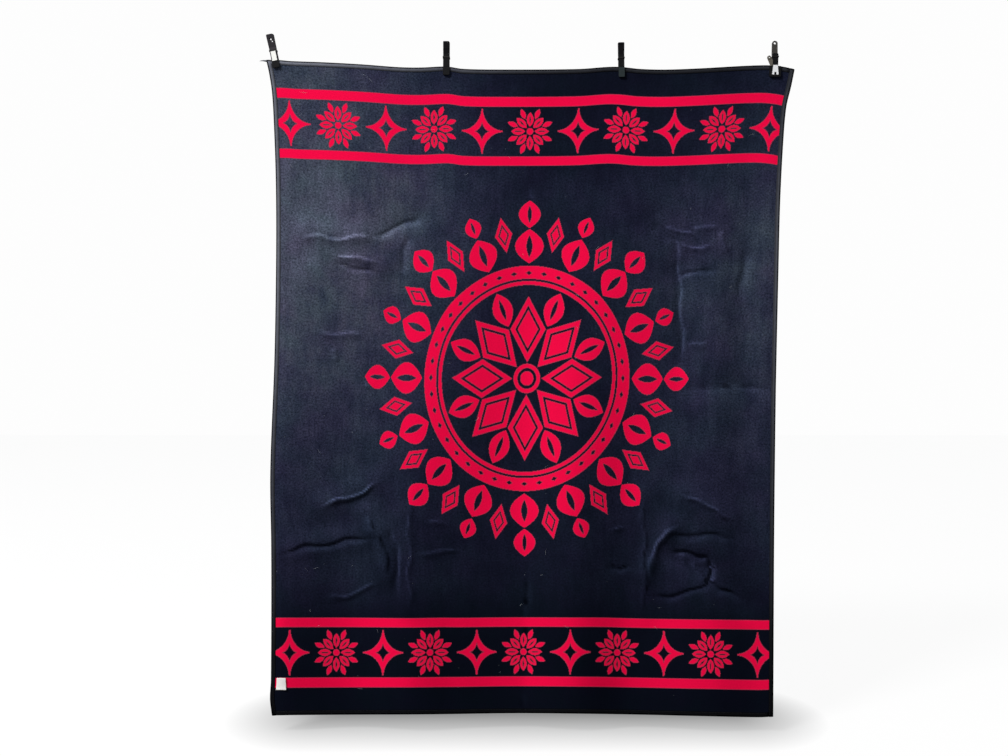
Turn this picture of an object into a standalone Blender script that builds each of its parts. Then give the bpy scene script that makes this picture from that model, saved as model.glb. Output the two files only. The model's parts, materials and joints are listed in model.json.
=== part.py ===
"""Wool blanket hanging by its top edge from four spring clips.

The blanket is one woven panel with a folded binding strip over each of its four edges and a
blank label sewn at its lower left corner. Each clip has two legs, a rubber shoe on each jaw and
a steel band that holds the legs together.

Metres, +Z up, +X to the right, and the blanket's face looks along -Y. The origin is the middle
of the level line through the clips' hang holes, in the plane in which the blanket hangs.
"""
from math import cos, exp, pi, radians, sin

import bmesh
import bpy
from mathutils import Vector

# Blanket, laid flat
BLANKET_WIDTH = 1.626
BLANKET_HEIGHT = 2.032
CLOTH_THICKNESS = 0.003
BINDING_THICKNESS = 0.0012
BINDING_WIDTH = 0.0145
FIT_GAP = 0.00035

# Where the top edge hangs below the hang holes
TOP_LINE_Z = -0.0832

# Grid of the woven panel, with one narrow row of cells under the binding along each edge
PANEL_COLUMNS = 38
PANEL_ROWS = 48
RIM_CELL = 0.0165
NORMAL_STEP = 0.002

# Where the viewer stands. The outline and the clips' places are as seen from there against
# the hanging plane.
VIEWER = Vector((-0.0713, -2.9, -1.0411))

# Outline of the hanging blanket. Places run along the edge from its top or left end.
# (distance down the left edge, distance left of the centre line)
LEFT_EDGE = (
    (0.00, 0.808),
    (0.04, 0.799),
    (0.10, 0.790),
    (0.20, 0.784),
    (0.38, 0.778),
    (0.60, 0.777),
    (0.92, 0.782),
    (1.28, 0.795),
    (1.52, 0.792),
    (1.92, 0.793),
    (1.98, 0.796),
    (2.032, 0.790),
)
# (distance down the right edge, distance right of the centre line)
RIGHT_EDGE = (
    (0.00, 0.829),
    (0.05, 0.819),
    (0.12, 0.803),
    (0.24, 0.793),
    (0.42, 0.784),
    (0.62, 0.779),
    (1.00, 0.771),
    (1.45, 0.766),
    (2.032, 0.763),
)
# (distance along the top edge, height above the top line): held up at the clips, slack between
TOP_EDGE = (
    (0.000, 0.0275),
    (0.040, 0.0270),
    (0.075, 0.0240),
    (0.170, 0.0205),
    (0.290, 0.0140),
    (0.410, 0.0050),
    (0.475, 0.0040),
    (0.555, 0.0070),
    (0.605, -0.0002),
    (0.730, -0.0024),
    (0.960, -0.0006),
    (1.055, 0.0060),
    (1.095, 0.0055),
    (1.150, -0.0004),
    (1.230, -0.0024),
    (1.335, 0.0014),
    (1.465, 0.0088),
    (1.530, 0.0110),
    (1.565, 0.0100),
    (1.600, 0.0050),
    (1.626, -0.0020),
)
# (distance along the bottom edge, height above the top line)
BOTTOM_EDGE = (
    (0.000, -2.0035),
    (0.060, -2.0025),
    (0.240, -2.0010),
    (0.500, -2.0000),
    (0.800, -1.9965),
    (1.150, -2.0000),
    (1.400, -2.0055),
    (1.580, -2.0090),
    (1.626, -2.0070),
)

# Broad hanging waves. (distance along, how far the cloth stands towards the viewer)
FOOT_WAVE = (
    (0.000, 0.020),
    (0.040, 0.028),
    (0.254, -0.002),
    (0.448, 0.036),
    (0.600, 0.012),
    (0.788, -0.004),
    (0.982, 0.036),
    (1.160, -0.003),
    (1.420, 0.036),
    (1.560, 0.026),
    (1.626, 0.030),
)
MIDDLE_WAVE = (
    (0.000, 0.002),
    (0.110, 0.012),
    (0.270, 0.018),
    (0.420, -0.001),
    (0.600, 0.010),
    (0.840, 0.002),
    (1.120, 0.018),
    (1.325, 0.004),
    (1.430, 0.014),
    (1.520, 0.002),
    (1.590, 0.010),
    (1.626, 0.005),
)
WAVE_START = 0.035
FOLD_FULL = 0.105
FOOT_WAVE_FULL = 1.85
MIDDLE_WAVE_FULL = 0.75
MIDDLE_WAVE_END = 1.75
TOP_BOW = 0.006
TOP_BOW_REACH = 0.45
CLIP_REACH = 0.055

# Main folds, each a soft ridge or trough along a straight run on the flat cloth.
# (start across, start down, end across, end down, half width, height towards the viewer)
FOLDS = (
    (1.220, 0.470, 1.300, 0.610, 0.046, -0.008),
    (1.302, 0.640, 1.322, 0.920, 0.046, -0.008),
    (1.285, 1.520, 1.400, 1.570, 0.040, -0.009),
    (1.395, 1.560, 1.530, 1.680, 0.042, -0.008),
    (1.305, 1.430, 1.215, 1.590, 0.036, 0.009),
    (1.335, 1.345, 1.480, 1.415, 0.038, 0.006),
    (0.165, 1.380, 0.335, 1.305, 0.038, 0.007),
    (0.305, 1.400, 0.370, 1.600, 0.036, 0.009),
    (0.030, 1.520, 0.320, 1.470, 0.040, 0.006),
    (0.100, 0.535, 0.320, 0.540, 0.038, 0.007),
    (0.200, 0.590, 0.345, 0.625, 0.036, 0.006),
    (0.315, 0.540, 0.465, 0.465, 0.036, -0.005),
    (0.825, 1.540, 0.820, 2.020, 0.036, -0.004),
    (0.440, 1.340, 0.445, 1.700, 0.038, 0.004),
    (1.200, 1.340, 1.205, 1.720, 0.038, 0.004),
    (1.320, 1.005, 1.600, 1.000, 0.040, -0.004),
)

# Blank label
LABEL_WIDTH = 0.032
LABEL_HEIGHT = 0.037
LABEL_ACROSS = 0.0165
LABEL_DOWN = 1.916
LABEL_THICKNESS = 0.0005
LABEL_LIFT = 0.0025
LABEL_SLANT = 0.004
LABEL_COLUMNS = 3
LABEL_ROWS = 4

# Pointed end of the binding that sticks out at the top left corner
TAIL_LENGTH = 0.024
TAIL_HEIGHT = 0.006

# Clips. Heights are measured from the blanket's edge under the clip.
HOLE_RADIUS = 0.004
HOLE_SIDES = 20
SHOE_TOP = -0.001
SHOE_CORNER = 0.003
LEG_FOOT_CORNER = 0.0003
CUTTER_REACH = 0.03
JAW_FACE = 0.00335
BACK_FACE = 0.0095
BACK_RECESS = 0.0082
FRONT_FACE = 0.0083
PIVOT_FACE = 0.00015
PIVOT_LOW = 0.016
PIVOT_HIGH = 0.038
JAW_STEP = 0.007
FRONT_LEG_THICKNESS = 0.005
FRONT_SPLAY = 0.012
REAR_SPLAY = 0.0045
BAND_LOW = 0.0262
BAND_HIGH = 0.0302
BAND_THICKNESS = 0.001
ARC_STEPS = 5

# name, across, lean, leg width, corner radius, rear leg's top and hole, front leg's top and
# hole (0 without one), shoe width, jaw length
CLIPS = (
    ("clip_1", -0.7805, -11.5, 0.0205, 0.0045, 0.0840, 0.0690, 0.0766, 0.0613, 0.0213, 0.0250),
    ("clip_2", -0.2500, 0.5, 0.0195, 0.0035, 0.0800, 0.0725, 0.0743, 0.0, 0.0203, 0.0260),
    ("clip_3", 0.2925, -1.0, 0.0175, 0.0035, 0.0800, 0.0725, 0.0725, 0.0, 0.0183, 0.0310),
    ("clip_4", 0.7680, 1.5, 0.0168, 0.0082, 0.0811, 0.0736, PIVOT_HIGH, 0.0, 0.0350, 0.0340),
)

# Blank pale plate on the first clip
PLATE_WIDTH = 0.0150
PLATE_LOW = -0.0040
PLATE_HIGH = 0.0256
PLATE_THICKNESS = 0.0008

# Pronged steel plate and thumb tab on the last clip
PRONG_PLATE_WIDTH = 0.0196
PRONG_PLATE_TOP_WIDTH = 0.0140
PRONG_PLATE_LOW = -0.0280
PRONG_PLATE_HIGH = 0.0015
PRONG_NOTCH_WIDTH = 0.0066
PRONG_NOTCH_HEIGHT = 0.0080
TAB_THICKNESS = 0.0016
TAB_RADIUS = 0.0066
TAB_REACH = 0.0110
TAB_CENTRE = 0.0240
TAB_ROOT_HIGH = 0.0160
TAB_ROOT_WIDTH = 0.0072
TAB_LOBE_START = 55
TAB_LOBE_END = 205

# name: base colour, roughness, metallic
FINISHES = {
    "wool": ((0.030, 0.033, 0.060), 0.95, 0.0),
    "binding": ((0.045, 0.045, 0.055), 0.90, 0.0),
    "label": ((0.80, 0.78, 0.75), 0.80, 0.0),
    "black_plastic": ((0.015, 0.015, 0.016), 0.40, 0.0),
    "rubber": ((0.030, 0.033, 0.035), 0.70, 0.0),
    "pale_plastic": ((0.75, 0.75, 0.70), 0.50, 0.0),
    "steel": ((0.70, 0.71, 0.72), 0.30, 1.0),
    "dark_steel": ((0.060, 0.058, 0.055), 0.45, 1.0),
}


def clear_scene():
    """Remove the objects that a new file starts with."""
    for thing in list(bpy.data.objects):
        bpy.data.objects.remove(thing, do_unlink=True)


def make_material(name):
    """One plain material from the table of finishes."""
    colour, roughness, metallic = FINISHES[name]
    material = bpy.data.materials.new(name)
    material.use_nodes = True
    shader = material.node_tree.nodes["Principled BSDF"]
    shader.inputs["Base Color"].default_value = (*colour, 1.0)
    shader.inputs["Roughness"].default_value = roughness
    shader.inputs["Metallic"].default_value = metallic
    return material


def add_object(name, shape, material, parent=None):
    """Turn a bmesh into a named object with outward faces."""
    bmesh.ops.recalc_face_normals(shape, faces=shape.faces)
    mesh = bpy.data.meshes.new(name)
    shape.to_mesh(mesh)
    shape.free()
    mesh.materials.append(material)
    made = bpy.data.objects.new(name, mesh)
    bpy.context.collection.objects.link(made)
    made.parent = parent
    return made


def smooth_step(value, low, high):
    """0 below low, 1 above high, and a smooth rise between them."""
    share = min(max((value - low) / (high - low), 0.0), 1.0)
    return share * share * (3.0 - 2.0 * share)


def smooth_value(table, place):
    """Value at a place on the smooth curve through a table's (place, value) rows."""
    last = len(table) - 1
    row = 0
    while row < last - 1 and place > table[row + 1][0]:
        row += 1
    start, end = table[row], table[row + 1]
    before, after = table[max(row - 1, 0)], table[min(row + 2, last)]
    span = end[0] - start[0]
    share = min(max((place - start[0]) / span, 0.0), 1.0)
    slope_in = (end[1] - before[1]) / (end[0] - before[0]) * span
    slope_out = (after[1] - start[1]) / (after[0] - start[0]) * span
    square, cube = share ** 2, share ** 3
    return (
        (2 * cube - 3 * square + 1) * start[1]
        + (cube - 2 * square + share) * slope_in
        + (3 * square - 2 * cube) * end[1]
        + (cube - square) * slope_out
    )


def fold_depth(across, down):
    """Sum of the ridges and troughs of the fold table at one place on the flat cloth."""
    total = 0.0
    place = Vector((across, down))
    for start_across, start_down, end_across, end_down, half_width, height in FOLDS:
        start = Vector((start_across, start_down))
        run = Vector((end_across, end_down)) - start
        along = (place - start).dot(run) / run.length_squared
        nearest = start + run * min(max(along, 0.0), 1.0)
        distance = (place - nearest).length / half_width
        total += height * exp(-distance * distance)
    return total


def top_bow(across):
    """How far the top edge bows out between neighbouring clips; nought beside each clip."""
    places = [BLANKET_WIDTH / 2 + clip[1] for clip in CLIPS]
    for left_clip, right_clip in zip(places, places[1:]):
        left, right = left_clip + CLIP_REACH, right_clip - CLIP_REACH
        if left <= across <= right:
            return TOP_BOW * sin(pi * (across - left) / (right - left)) ** 2
    return 0.0


def cloth_depth(across, down):
    """How far the cloth's middle stands towards the viewer from the hanging plane."""
    foot = smooth_value(FOOT_WAVE, across) * smooth_step(down, WAVE_START, FOOT_WAVE_FULL)
    rise = smooth_step(down, WAVE_START, MIDDLE_WAVE_FULL)
    fall = 1.0 - smooth_step(down, MIDDLE_WAVE_FULL, MIDDLE_WAVE_END)
    middle = smooth_value(MIDDLE_WAVE, across) * rise * fall
    bow = top_bow(across) * (1.0 - smooth_step(down, 0.0, TOP_BOW_REACH))
    folds = fold_depth(across, down) * smooth_step(down, WAVE_START, FOLD_FULL)
    return foot + middle + bow + folds


def cloth_point(across, down):
    """Place in the hanging cloth's middle surface of a place on the flat cloth."""
    share_across = across / BLANKET_WIDTH
    share_down = down / BLANKET_HEIGHT
    left = -smooth_value(LEFT_EDGE, down)
    right = smooth_value(RIGHT_EDGE, down)
    x = left + (right - left) * share_across
    top = smooth_value(TOP_EDGE, across)
    bottom = smooth_value(BOTTOM_EDGE, across)
    z = TOP_LINE_Z + top + (bottom - top) * share_down
    return Vector((x, 0.0, z)).lerp(VIEWER, cloth_depth(across, down) / -VIEWER.y)


def cloth_normal(across, down):
    """Unit normal of the cloth's face, towards the viewer."""
    low_across = max(across - NORMAL_STEP, 0.0)
    high_across = min(across + NORMAL_STEP, BLANKET_WIDTH)
    low_down = max(down - NORMAL_STEP, 0.0)
    high_down = min(down + NORMAL_STEP, BLANKET_HEIGHT)
    along = cloth_point(high_across, down) - cloth_point(low_across, down)
    descent = cloth_point(across, high_down) - cloth_point(across, low_down)
    return descent.cross(along).normalized()


def cloth_offset(across, down, height):
    """Place at a height over the cloth's middle surface, towards the viewer."""
    return cloth_point(across, down) + cloth_normal(across, down) * height


def grid_lines(length, cells):
    """Places of the panel's grid lines along one side, with a narrow cell at each end."""
    first = BINDING_THICKNESS + FIT_GAP
    inner = length - 2 * RIM_CELL
    lines = [RIM_CELL + inner * index / (cells - 2) for index in range(cells - 1)]
    return [first] + lines + [length - first]


def add_triangles(shape, corner_a, corner_b, corner_c, corner_d):
    """Fill a quad with two triangles that share the diagonal from a to c."""
    shape.faces.new((corner_a, corner_b, corner_c))
    shape.faces.new((corner_a, corner_c, corner_d))


def make_panel(material):
    """The woven panel: one thin solid in its hanging shape."""
    columns = grid_lines(BLANKET_WIDTH, PANEL_COLUMNS)
    rows = grid_lines(BLANKET_HEIGHT, PANEL_ROWS)
    shape = bmesh.new()
    sides = []
    for height in (CLOTH_THICKNESS / 2, -CLOTH_THICKNESS / 2):
        sides.append([
            [shape.verts.new(cloth_offset(across, down, height)) for across in columns]
            for down in rows
        ])
    front, back = sides
    for row in range(len(rows) - 1):
        for column in range(len(columns) - 1):
            for side in sides:
                add_triangles(
                    shape,
                    side[row][column], side[row][column + 1],
                    side[row + 1][column + 1], side[row + 1][column],
                )
    last_row, last_column = len(rows) - 1, len(columns) - 1
    for column in range(last_column):
        for row in (0, last_row):
            add_triangles(
                shape,
                front[row][column], front[row][column + 1],
                back[row][column + 1], back[row][column],
            )
    for row in range(last_row):
        for column in (0, last_column):
            add_triangles(
                shape,
                front[row][column], front[row + 1][column],
                back[row + 1][column], back[row][column],
            )
    return add_object("blanket_panel", shape, material)


def binding_section():
    """Section of the folded strip: (distance in from the edge, height over the cloth)."""
    inside = CLOTH_THICKNESS / 2 + FIT_GAP
    outside = inside + BINDING_THICKNESS
    return (
        (0.0, outside),
        (BINDING_WIDTH, outside),
        (BINDING_WIDTH, inside),
        (BINDING_THICKNESS, inside),
        (BINDING_THICKNESS, -inside),
        (BINDING_WIDTH, -inside),
        (BINDING_WIDTH, -outside),
        (0.0, -outside),
    )


def make_binding(name, material, stations, place, tail=False):
    """One binding strip, folded over an edge. place(station, distance in) is on the flat cloth.

    Each quad is split along the same diagonal as the panel's cell under it.
    """
    section = binding_section()
    shape = bmesh.new()
    rings = []
    for station in stations:
        ring = []
        for inward, height in section:
            across, down = place(station, inward)
            ring.append(shape.verts.new(cloth_offset(across, down, height)))
        rings.append(ring)
    count = len(section)
    for index, (ring, following) in enumerate(zip(rings, rings[1:])):
        for corner in range(count):
            beside = (corner + 1) % count
            quad = (ring[corner], following[corner], following[beside], ring[beside])
            first = Vector(place(stations[index], section[corner][0]))
            opposite = Vector(place(stations[index + 1], section[beside][0]))
            across_run, down_run = opposite - first
            if tail and index == 0 and beside == 0:
                add_tail(shape, *quad)
            elif across_run * down_run < 0.0:
                add_triangles(shape, quad[1], quad[2], quad[3], quad[0])
            else:
                add_triangles(shape, *quad)
    for ring in (rings[0], rings[-1]):
        add_triangles(shape, ring[0], ring[1], ring[2], ring[3])
        add_triangles(shape, ring[0], ring[3], ring[4], ring[7])
        add_triangles(shape, ring[4], ring[5], ring[6], ring[7])
    return add_object(name, shape, material)


def add_tail(shape, *corners):
    """Draw the strip's outer face out to a point, to the left."""
    middle = sum((corner.co for corner in corners), Vector()) / len(corners)
    tip = shape.verts.new(middle - Vector((TAIL_LENGTH, 0.0, 0.0)))
    for corner, beside in zip(corners, corners[1:] + corners[:1]):
        shape.faces.new((corner, beside, tip))


def make_bindings(material):
    """Side strips over the full height, top and bottom strips butted between them."""
    inset = BINDING_WIDTH + FIT_GAP
    columns = grid_lines(BLANKET_WIDTH, PANEL_COLUMNS)[1:-1]
    columns = [inset] + columns + [BLANKET_WIDTH - inset]
    rows = grid_lines(BLANKET_HEIGHT, PANEL_ROWS)[1:-1]
    rows = [0.0, TAIL_HEIGHT] + rows + [BLANKET_HEIGHT]
    make_binding("binding_top", material, columns, lambda along, inward: (along, inward))
    make_binding(
        "binding_bottom", material, columns,
        lambda along, inward: (along, BLANKET_HEIGHT - inward),
    )
    make_binding("binding_left", material, rows, lambda along, inward: (inward, along), tail=True)
    make_binding(
        "binding_right", material, rows,
        lambda along, inward: (BLANKET_WIDTH - inward, along),
    )


def make_label(material):
    """Blank label, sewn along its left edge and standing off a little at its right edge."""
    columns, rows = LABEL_COLUMNS, LABEL_ROWS
    shape = bmesh.new()
    base = CLOTH_THICKNESS / 2 + 2 * FIT_GAP
    layers = []
    for thickness in (0.0, LABEL_THICKNESS):
        layer = []
        for row in range(rows + 1):
            share_down = row / rows
            width = LABEL_WIDTH - LABEL_SLANT * (1.0 - share_down)
            down = LABEL_DOWN + LABEL_HEIGHT * share_down
            line = []
            for column in range(columns + 1):
                share_across = column / columns
                across = LABEL_ACROSS + width * share_across
                height = base + LABEL_LIFT * share_across ** 2 + thickness
                line.append(shape.verts.new(cloth_offset(across, down, height)))
            layer.append(line)
        layers.append(layer)
    under, over = layers
    for row in range(rows):
        for column in range(columns):
            for layer in layers:
                add_triangles(
                    shape,
                    layer[row][column], layer[row][column + 1],
                    layer[row + 1][column + 1], layer[row + 1][column],
                )
        for column in (0, columns):
            shape.faces.new((
                under[row][column], under[row + 1][column], over[row + 1][column], over[row][column],
            ))
    for column in range(columns):
        for row in (0, rows):
            shape.faces.new((
                under[row][column], under[row][column + 1], over[row][column + 1], over[row][column],
            ))
    return add_object("care_label", shape, material)


def arc(centre_across, centre_up, radius, start, end):
    """Points on a round corner, from one angle to another in degrees."""
    points = []
    for step in range(ARC_STEPS + 1):
        angle = radians(start + (end - start) * step / ARC_STEPS)
        points.append((centre_across + radius * cos(angle), centre_up + radius * sin(angle)))
    return points


def rounded_outline(width, low, high, low_radius, high_radius):
    """Front outline of a bar with rounded corners, as (across, up) points."""
    half = width / 2
    return (
        arc(half - high_radius, high - high_radius, high_radius, 0, 90)
        + arc(high_radius - half, high - high_radius, high_radius, 90, 180)
        + arc(low_radius - half, low + low_radius, low_radius, 180, 270)
        + arc(half - low_radius, low + low_radius, low_radius, 270, 360)
    )


def extruded(outline, near, far, place):
    """Closed prism of an outline. place(first, second, depth) gives each corner's place."""
    shape = bmesh.new()
    ends = []
    for depth in (near, far):
        ring = [shape.verts.new(place(first, second, depth)) for first, second in outline]
        ends.append(ring)
        shape.faces.new(ring)
    for index in range(len(outline)):
        beside = (index + 1) % len(outline)
        shape.faces.new((ends[0][index], ends[0][beside], ends[1][beside], ends[1][index]))
    return shape


def front_view(across, up, depth):
    """A front outline runs through the depth."""
    return Vector((across, depth, up))


def side_view(depth, up, across):
    """A side profile runs across the width."""
    return Vector((across, depth, up))


def add_cutter(name, shape, material, parent):
    """A guide shape for a Boolean, left out of the part."""
    cutter = add_object(name, shape, material, parent)
    cutter.hide_render = True
    cutter.display_type = "WIRE"
    return cutter


def cut(target, cutter, operation):
    """Apply a cutter to an object as an exact Boolean."""
    boolean = target.modifiers.new(cutter.name, "BOOLEAN")
    boolean.solver = "EXACT"
    boolean.operation = operation
    boolean.object = cutter


def rear_profile(top):
    """Side profile of a rear leg, as (depth, up): flat behind, stepped in at the pivot."""
    return (
        (JAW_FACE, SHOE_TOP + FIT_GAP),
        (JAW_FACE, JAW_STEP),
        (PIVOT_FACE, PIVOT_LOW),
        (PIVOT_FACE, PIVOT_HIGH),
        (REAR_SPLAY, top),
        (BACK_FACE, top),
        (BACK_FACE, PIVOT_HIGH),
        (BACK_RECESS, PIVOT_HIGH),
        (BACK_RECESS, PIVOT_LOW),
        (BACK_FACE, PIVOT_LOW),
        (BACK_FACE, SHOE_TOP + FIT_GAP),
    )


def front_profile(top):
    """Side profile of a front leg. A long leg slants away from the rear one to its top."""
    profile = [
        (-FRONT_FACE, SHOE_TOP + FIT_GAP),
        (-JAW_FACE, SHOE_TOP + FIT_GAP),
        (-JAW_FACE, JAW_STEP),
        (-PIVOT_FACE, PIVOT_LOW),
        (-PIVOT_FACE, PIVOT_HIGH),
    ]
    if top > PIVOT_HIGH:
        profile.append((-FRONT_SPLAY, top))
        profile.append((-FRONT_SPLAY - FRONT_LEG_THICKNESS, top))
    profile.append((-FRONT_FACE, PIVOT_HIGH))
    return profile


def make_leg(name, profile, width, outline, hole_height, material, parent):
    """A clip's leg: its side profile cut to its front outline, with a hang hole if it has one."""
    leg = add_object(name, extruded(profile, -width, width, side_view), material, parent)
    guide = extruded(outline, -CUTTER_REACH, CUTTER_REACH, front_view)
    cut(leg, add_cutter(name + "_outline", guide, material, parent), "INTERSECT")
    if hole_height:
        ring = [
            (HOLE_RADIUS * cos(2 * pi * side / HOLE_SIDES),
             hole_height + HOLE_RADIUS * sin(2 * pi * side / HOLE_SIDES))
            for side in range(HOLE_SIDES)
        ]
        drill = extruded(ring, -CUTTER_REACH, CUTTER_REACH, front_view)
        cut(leg, add_cutter(name + "_hole", drill, material, parent), "DIFFERENCE")
    return leg


def make_shoe(name, near, far, width, jaw_length, material, parent):
    """Rubber shoe of one jaw, a rounded block that presses on the blanket's edge."""
    outline = rounded_outline(width, -jaw_length, SHOE_TOP, SHOE_CORNER, SHOE_CORNER / 2)
    return add_object(name, extruded(outline, near, far, front_view), material, parent)


def make_band(name, width, material, parent):
    """Steel band around both legs at their pivot."""
    half = width / 2 + FIT_GAP
    near, far = -FRONT_FACE - FIT_GAP, BACK_RECESS + FIT_GAP
    shape = bmesh.new()
    rings = []
    for up in (BAND_LOW, BAND_HIGH):
        for grow in (0.0, BAND_THICKNESS):
            corners = (
                (-half - grow, near - grow), (half + grow, near - grow),
                (half + grow, far + grow), (-half - grow, far + grow),
            )
            rings.append([shape.verts.new((across, depth, up)) for across, depth in corners])
    inner_low, outer_low, inner_high, outer_high = rings
    for first, second in (
        (inner_low, outer_low), (outer_low, outer_high),
        (outer_high, inner_high), (inner_high, inner_low),
    ):
        for corner in range(4):
            beside = (corner + 1) % 4
            shape.faces.new((first[corner], first[beside], second[beside], second[corner]))
    return add_object(name, shape, material, parent)


def make_pale_plate(name, material, parent):
    """Blank pale plate on a front leg's face."""
    outline = rounded_outline(PLATE_WIDTH, PLATE_LOW, PLATE_HIGH, SHOE_CORNER / 4, SHOE_CORNER / 4)
    far = -FRONT_FACE - FIT_GAP
    shape = extruded(outline, far - PLATE_THICKNESS, far, front_view)
    return add_object(name, shape, material, parent)


def make_prong_plate(name, material, parent):
    """Steel plate over a front jaw, wider downwards, with a notch between two prongs at its foot."""
    half = PRONG_PLATE_WIDTH / 2
    top_half = PRONG_PLATE_TOP_WIDTH / 2
    notch = PRONG_NOTCH_WIDTH / 2
    notch_top = PRONG_PLATE_LOW + PRONG_NOTCH_HEIGHT
    corner = SHOE_CORNER / 2
    outline = (
        [(-notch, PRONG_PLATE_LOW), (-notch, notch_top), (notch, notch_top)]
        + [(notch, PRONG_PLATE_LOW)]
        + arc(half - corner, PRONG_PLATE_LOW + corner, corner, 270, 360)
        + arc(top_half - corner, PRONG_PLATE_HIGH - corner, corner, 0, 90)
        + arc(corner - top_half, PRONG_PLATE_HIGH - corner, corner, 90, 180)
        + arc(corner - half, PRONG_PLATE_LOW + corner, corner, 180, 270)
    )
    far = -FRONT_FACE - FIT_GAP
    shape = extruded(outline, far - PLATE_THICKNESS, far, front_view)
    return add_object(name, shape, material, parent)


def make_thumb_tab(name, width, material, parent):
    """Thumb tab beside the short front leg: a neck that rises from the jaw to a round lobe."""
    root_across = -width / 2 - FIT_GAP
    root_low = SHOE_TOP + FIT_GAP
    outline = [(root_across - TAB_ROOT_WIDTH, root_low), (root_across, root_low)]
    outline.append((root_across, TAB_ROOT_HIGH))
    outline += arc(root_across - TAB_REACH, TAB_CENTRE, TAB_RADIUS, TAB_LOBE_START, TAB_LOBE_END)
    near = -FRONT_FACE
    shape = extruded(outline, near, near + TAB_THICKNESS, front_view)
    return add_object(name, shape, material, parent)


def make_clip(row, materials):
    """One spring clip on the blanket's top edge, from its row of the clip table."""
    name, across, lean, width, corner, top, hole, front_top, front_hole, shoe_width, jaw_length = row
    place = bpy.data.objects.new(name, None)
    bpy.context.collection.objects.link(place)
    edge_height = smooth_value(TOP_EDGE, BLANKET_WIDTH / 2 + across)
    place.location = (across, 0.0, TOP_LINE_Z + edge_height)
    place.rotation_euler = (0.0, radians(lean), 0.0)
    black, rubber = materials["black_plastic"], materials["rubber"]
    rear_outline = rounded_outline(width, SHOE_TOP, top, LEG_FOOT_CORNER, corner)
    front_outline = rounded_outline(width, SHOE_TOP, front_top, LEG_FOOT_CORNER, SHOE_CORNER)
    make_leg(name + "_rear_leg", rear_profile(top), width, rear_outline, hole, black, place)
    make_leg(
        name + "_front_leg", front_profile(front_top), width, front_outline, front_hole, black, place
    )
    make_shoe(name + "_rear_shoe", JAW_FACE, BACK_FACE, shoe_width, jaw_length, rubber, place)
    make_shoe(
        name + "_front_shoe", -FRONT_FACE, -JAW_FACE, shoe_width, jaw_length, rubber, place
    )
    make_band(name + "_band", width, materials["dark_steel"], place)
    if name == "clip_1":
        make_pale_plate(name + "_plate", materials["pale_plastic"], place)
    if name == "clip_4":
        make_prong_plate(name + "_jaw_plate", materials["steel"], place)
        make_thumb_tab(name + "_thumb_tab", width, materials["dark_steel"], place)


def main():
    """Build the whole part."""
    clear_scene()
    materials = {name: make_material(name) for name in FINISHES}
    make_panel(materials["wool"])
    make_bindings(materials["binding"])
    make_label(materials["label"])
    for row in CLIPS:
        make_clip(row, materials)


main()
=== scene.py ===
"""Looks of a wool blanket that hangs by its top edge from four spring clips.

The cloth is a fine closed sheet in its hanging shape, with a woven pattern worked out by its
material's nodes from places on the flat cloth. Folded tapes, sewing, a blank label and loose
fibres lie on it. The clips keep their own shapes, with rounded edges and moulded detail.
"""
import json
from functools import reduce
from math import cos, pi, radians, sin

import bpy
import numpy as np
from mathutils import Euler, Matrix, Vector, noise

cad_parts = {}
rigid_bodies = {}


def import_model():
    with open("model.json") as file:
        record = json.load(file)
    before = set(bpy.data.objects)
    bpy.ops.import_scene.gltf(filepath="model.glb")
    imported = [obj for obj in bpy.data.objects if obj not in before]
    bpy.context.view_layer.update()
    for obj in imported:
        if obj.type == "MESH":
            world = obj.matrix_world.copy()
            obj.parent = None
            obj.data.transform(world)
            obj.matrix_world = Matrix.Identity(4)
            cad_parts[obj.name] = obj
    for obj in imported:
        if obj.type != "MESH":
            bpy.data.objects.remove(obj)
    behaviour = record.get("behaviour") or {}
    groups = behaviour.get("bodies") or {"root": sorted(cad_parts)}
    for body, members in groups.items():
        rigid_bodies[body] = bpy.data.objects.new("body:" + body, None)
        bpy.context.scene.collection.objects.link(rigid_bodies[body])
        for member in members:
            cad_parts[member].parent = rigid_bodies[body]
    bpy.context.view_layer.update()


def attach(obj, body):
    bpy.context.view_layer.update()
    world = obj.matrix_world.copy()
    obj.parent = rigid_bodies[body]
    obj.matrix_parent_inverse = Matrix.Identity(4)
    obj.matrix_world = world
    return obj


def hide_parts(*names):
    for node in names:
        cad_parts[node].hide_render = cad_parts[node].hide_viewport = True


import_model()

BODY = "root"

# Blanket, laid flat
BLANKET_WIDTH = 1.626
BLANKET_HEIGHT = 2.032
CLOTH_THICKNESS = 0.003
TAPE_THICKNESS = 0.0012
TAPE_WIDTH = 0.0145
TAPE_CROWN = 0.0011
FIT_GAP = 0.00035
TOP_LINE_Z = -0.0832

# Where the viewer stands. The outline is as seen from there against the hanging plane.
VIEWER = (-0.0713, -2.9, -1.0411)

# Cells of the fine sheet, with one narrow row of cells under the tape along each edge. The
# cells are finer in the spans, from one distance to another, where the cloth is creased.
SHEET_COLUMNS = 192
SHEET_ROWS = 252
RIM_CELL = 0.0135
CREASED_ACROSS = ((0.06, 0.47), (1.20, 1.56))
CREASED_DOWN = ((0.45, 0.95), (1.29, 1.72))
CREASED_FINENESS = 2.2
NORMAL_STEP = 0.002

# Outline of the hanging blanket. Places run along the edge from its top or left end.
# (distance down the left edge, distance left of the centre line)
LEFT_EDGE = (
    (0.00, 0.808),
    (0.04, 0.799),
    (0.10, 0.790),
    (0.20, 0.784),
    (0.38, 0.778),
    (0.60, 0.777),
    (0.92, 0.782),
    (1.28, 0.795),
    (1.52, 0.792),
    (1.92, 0.793),
    (1.98, 0.796),
    (2.032, 0.790),
)
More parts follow.
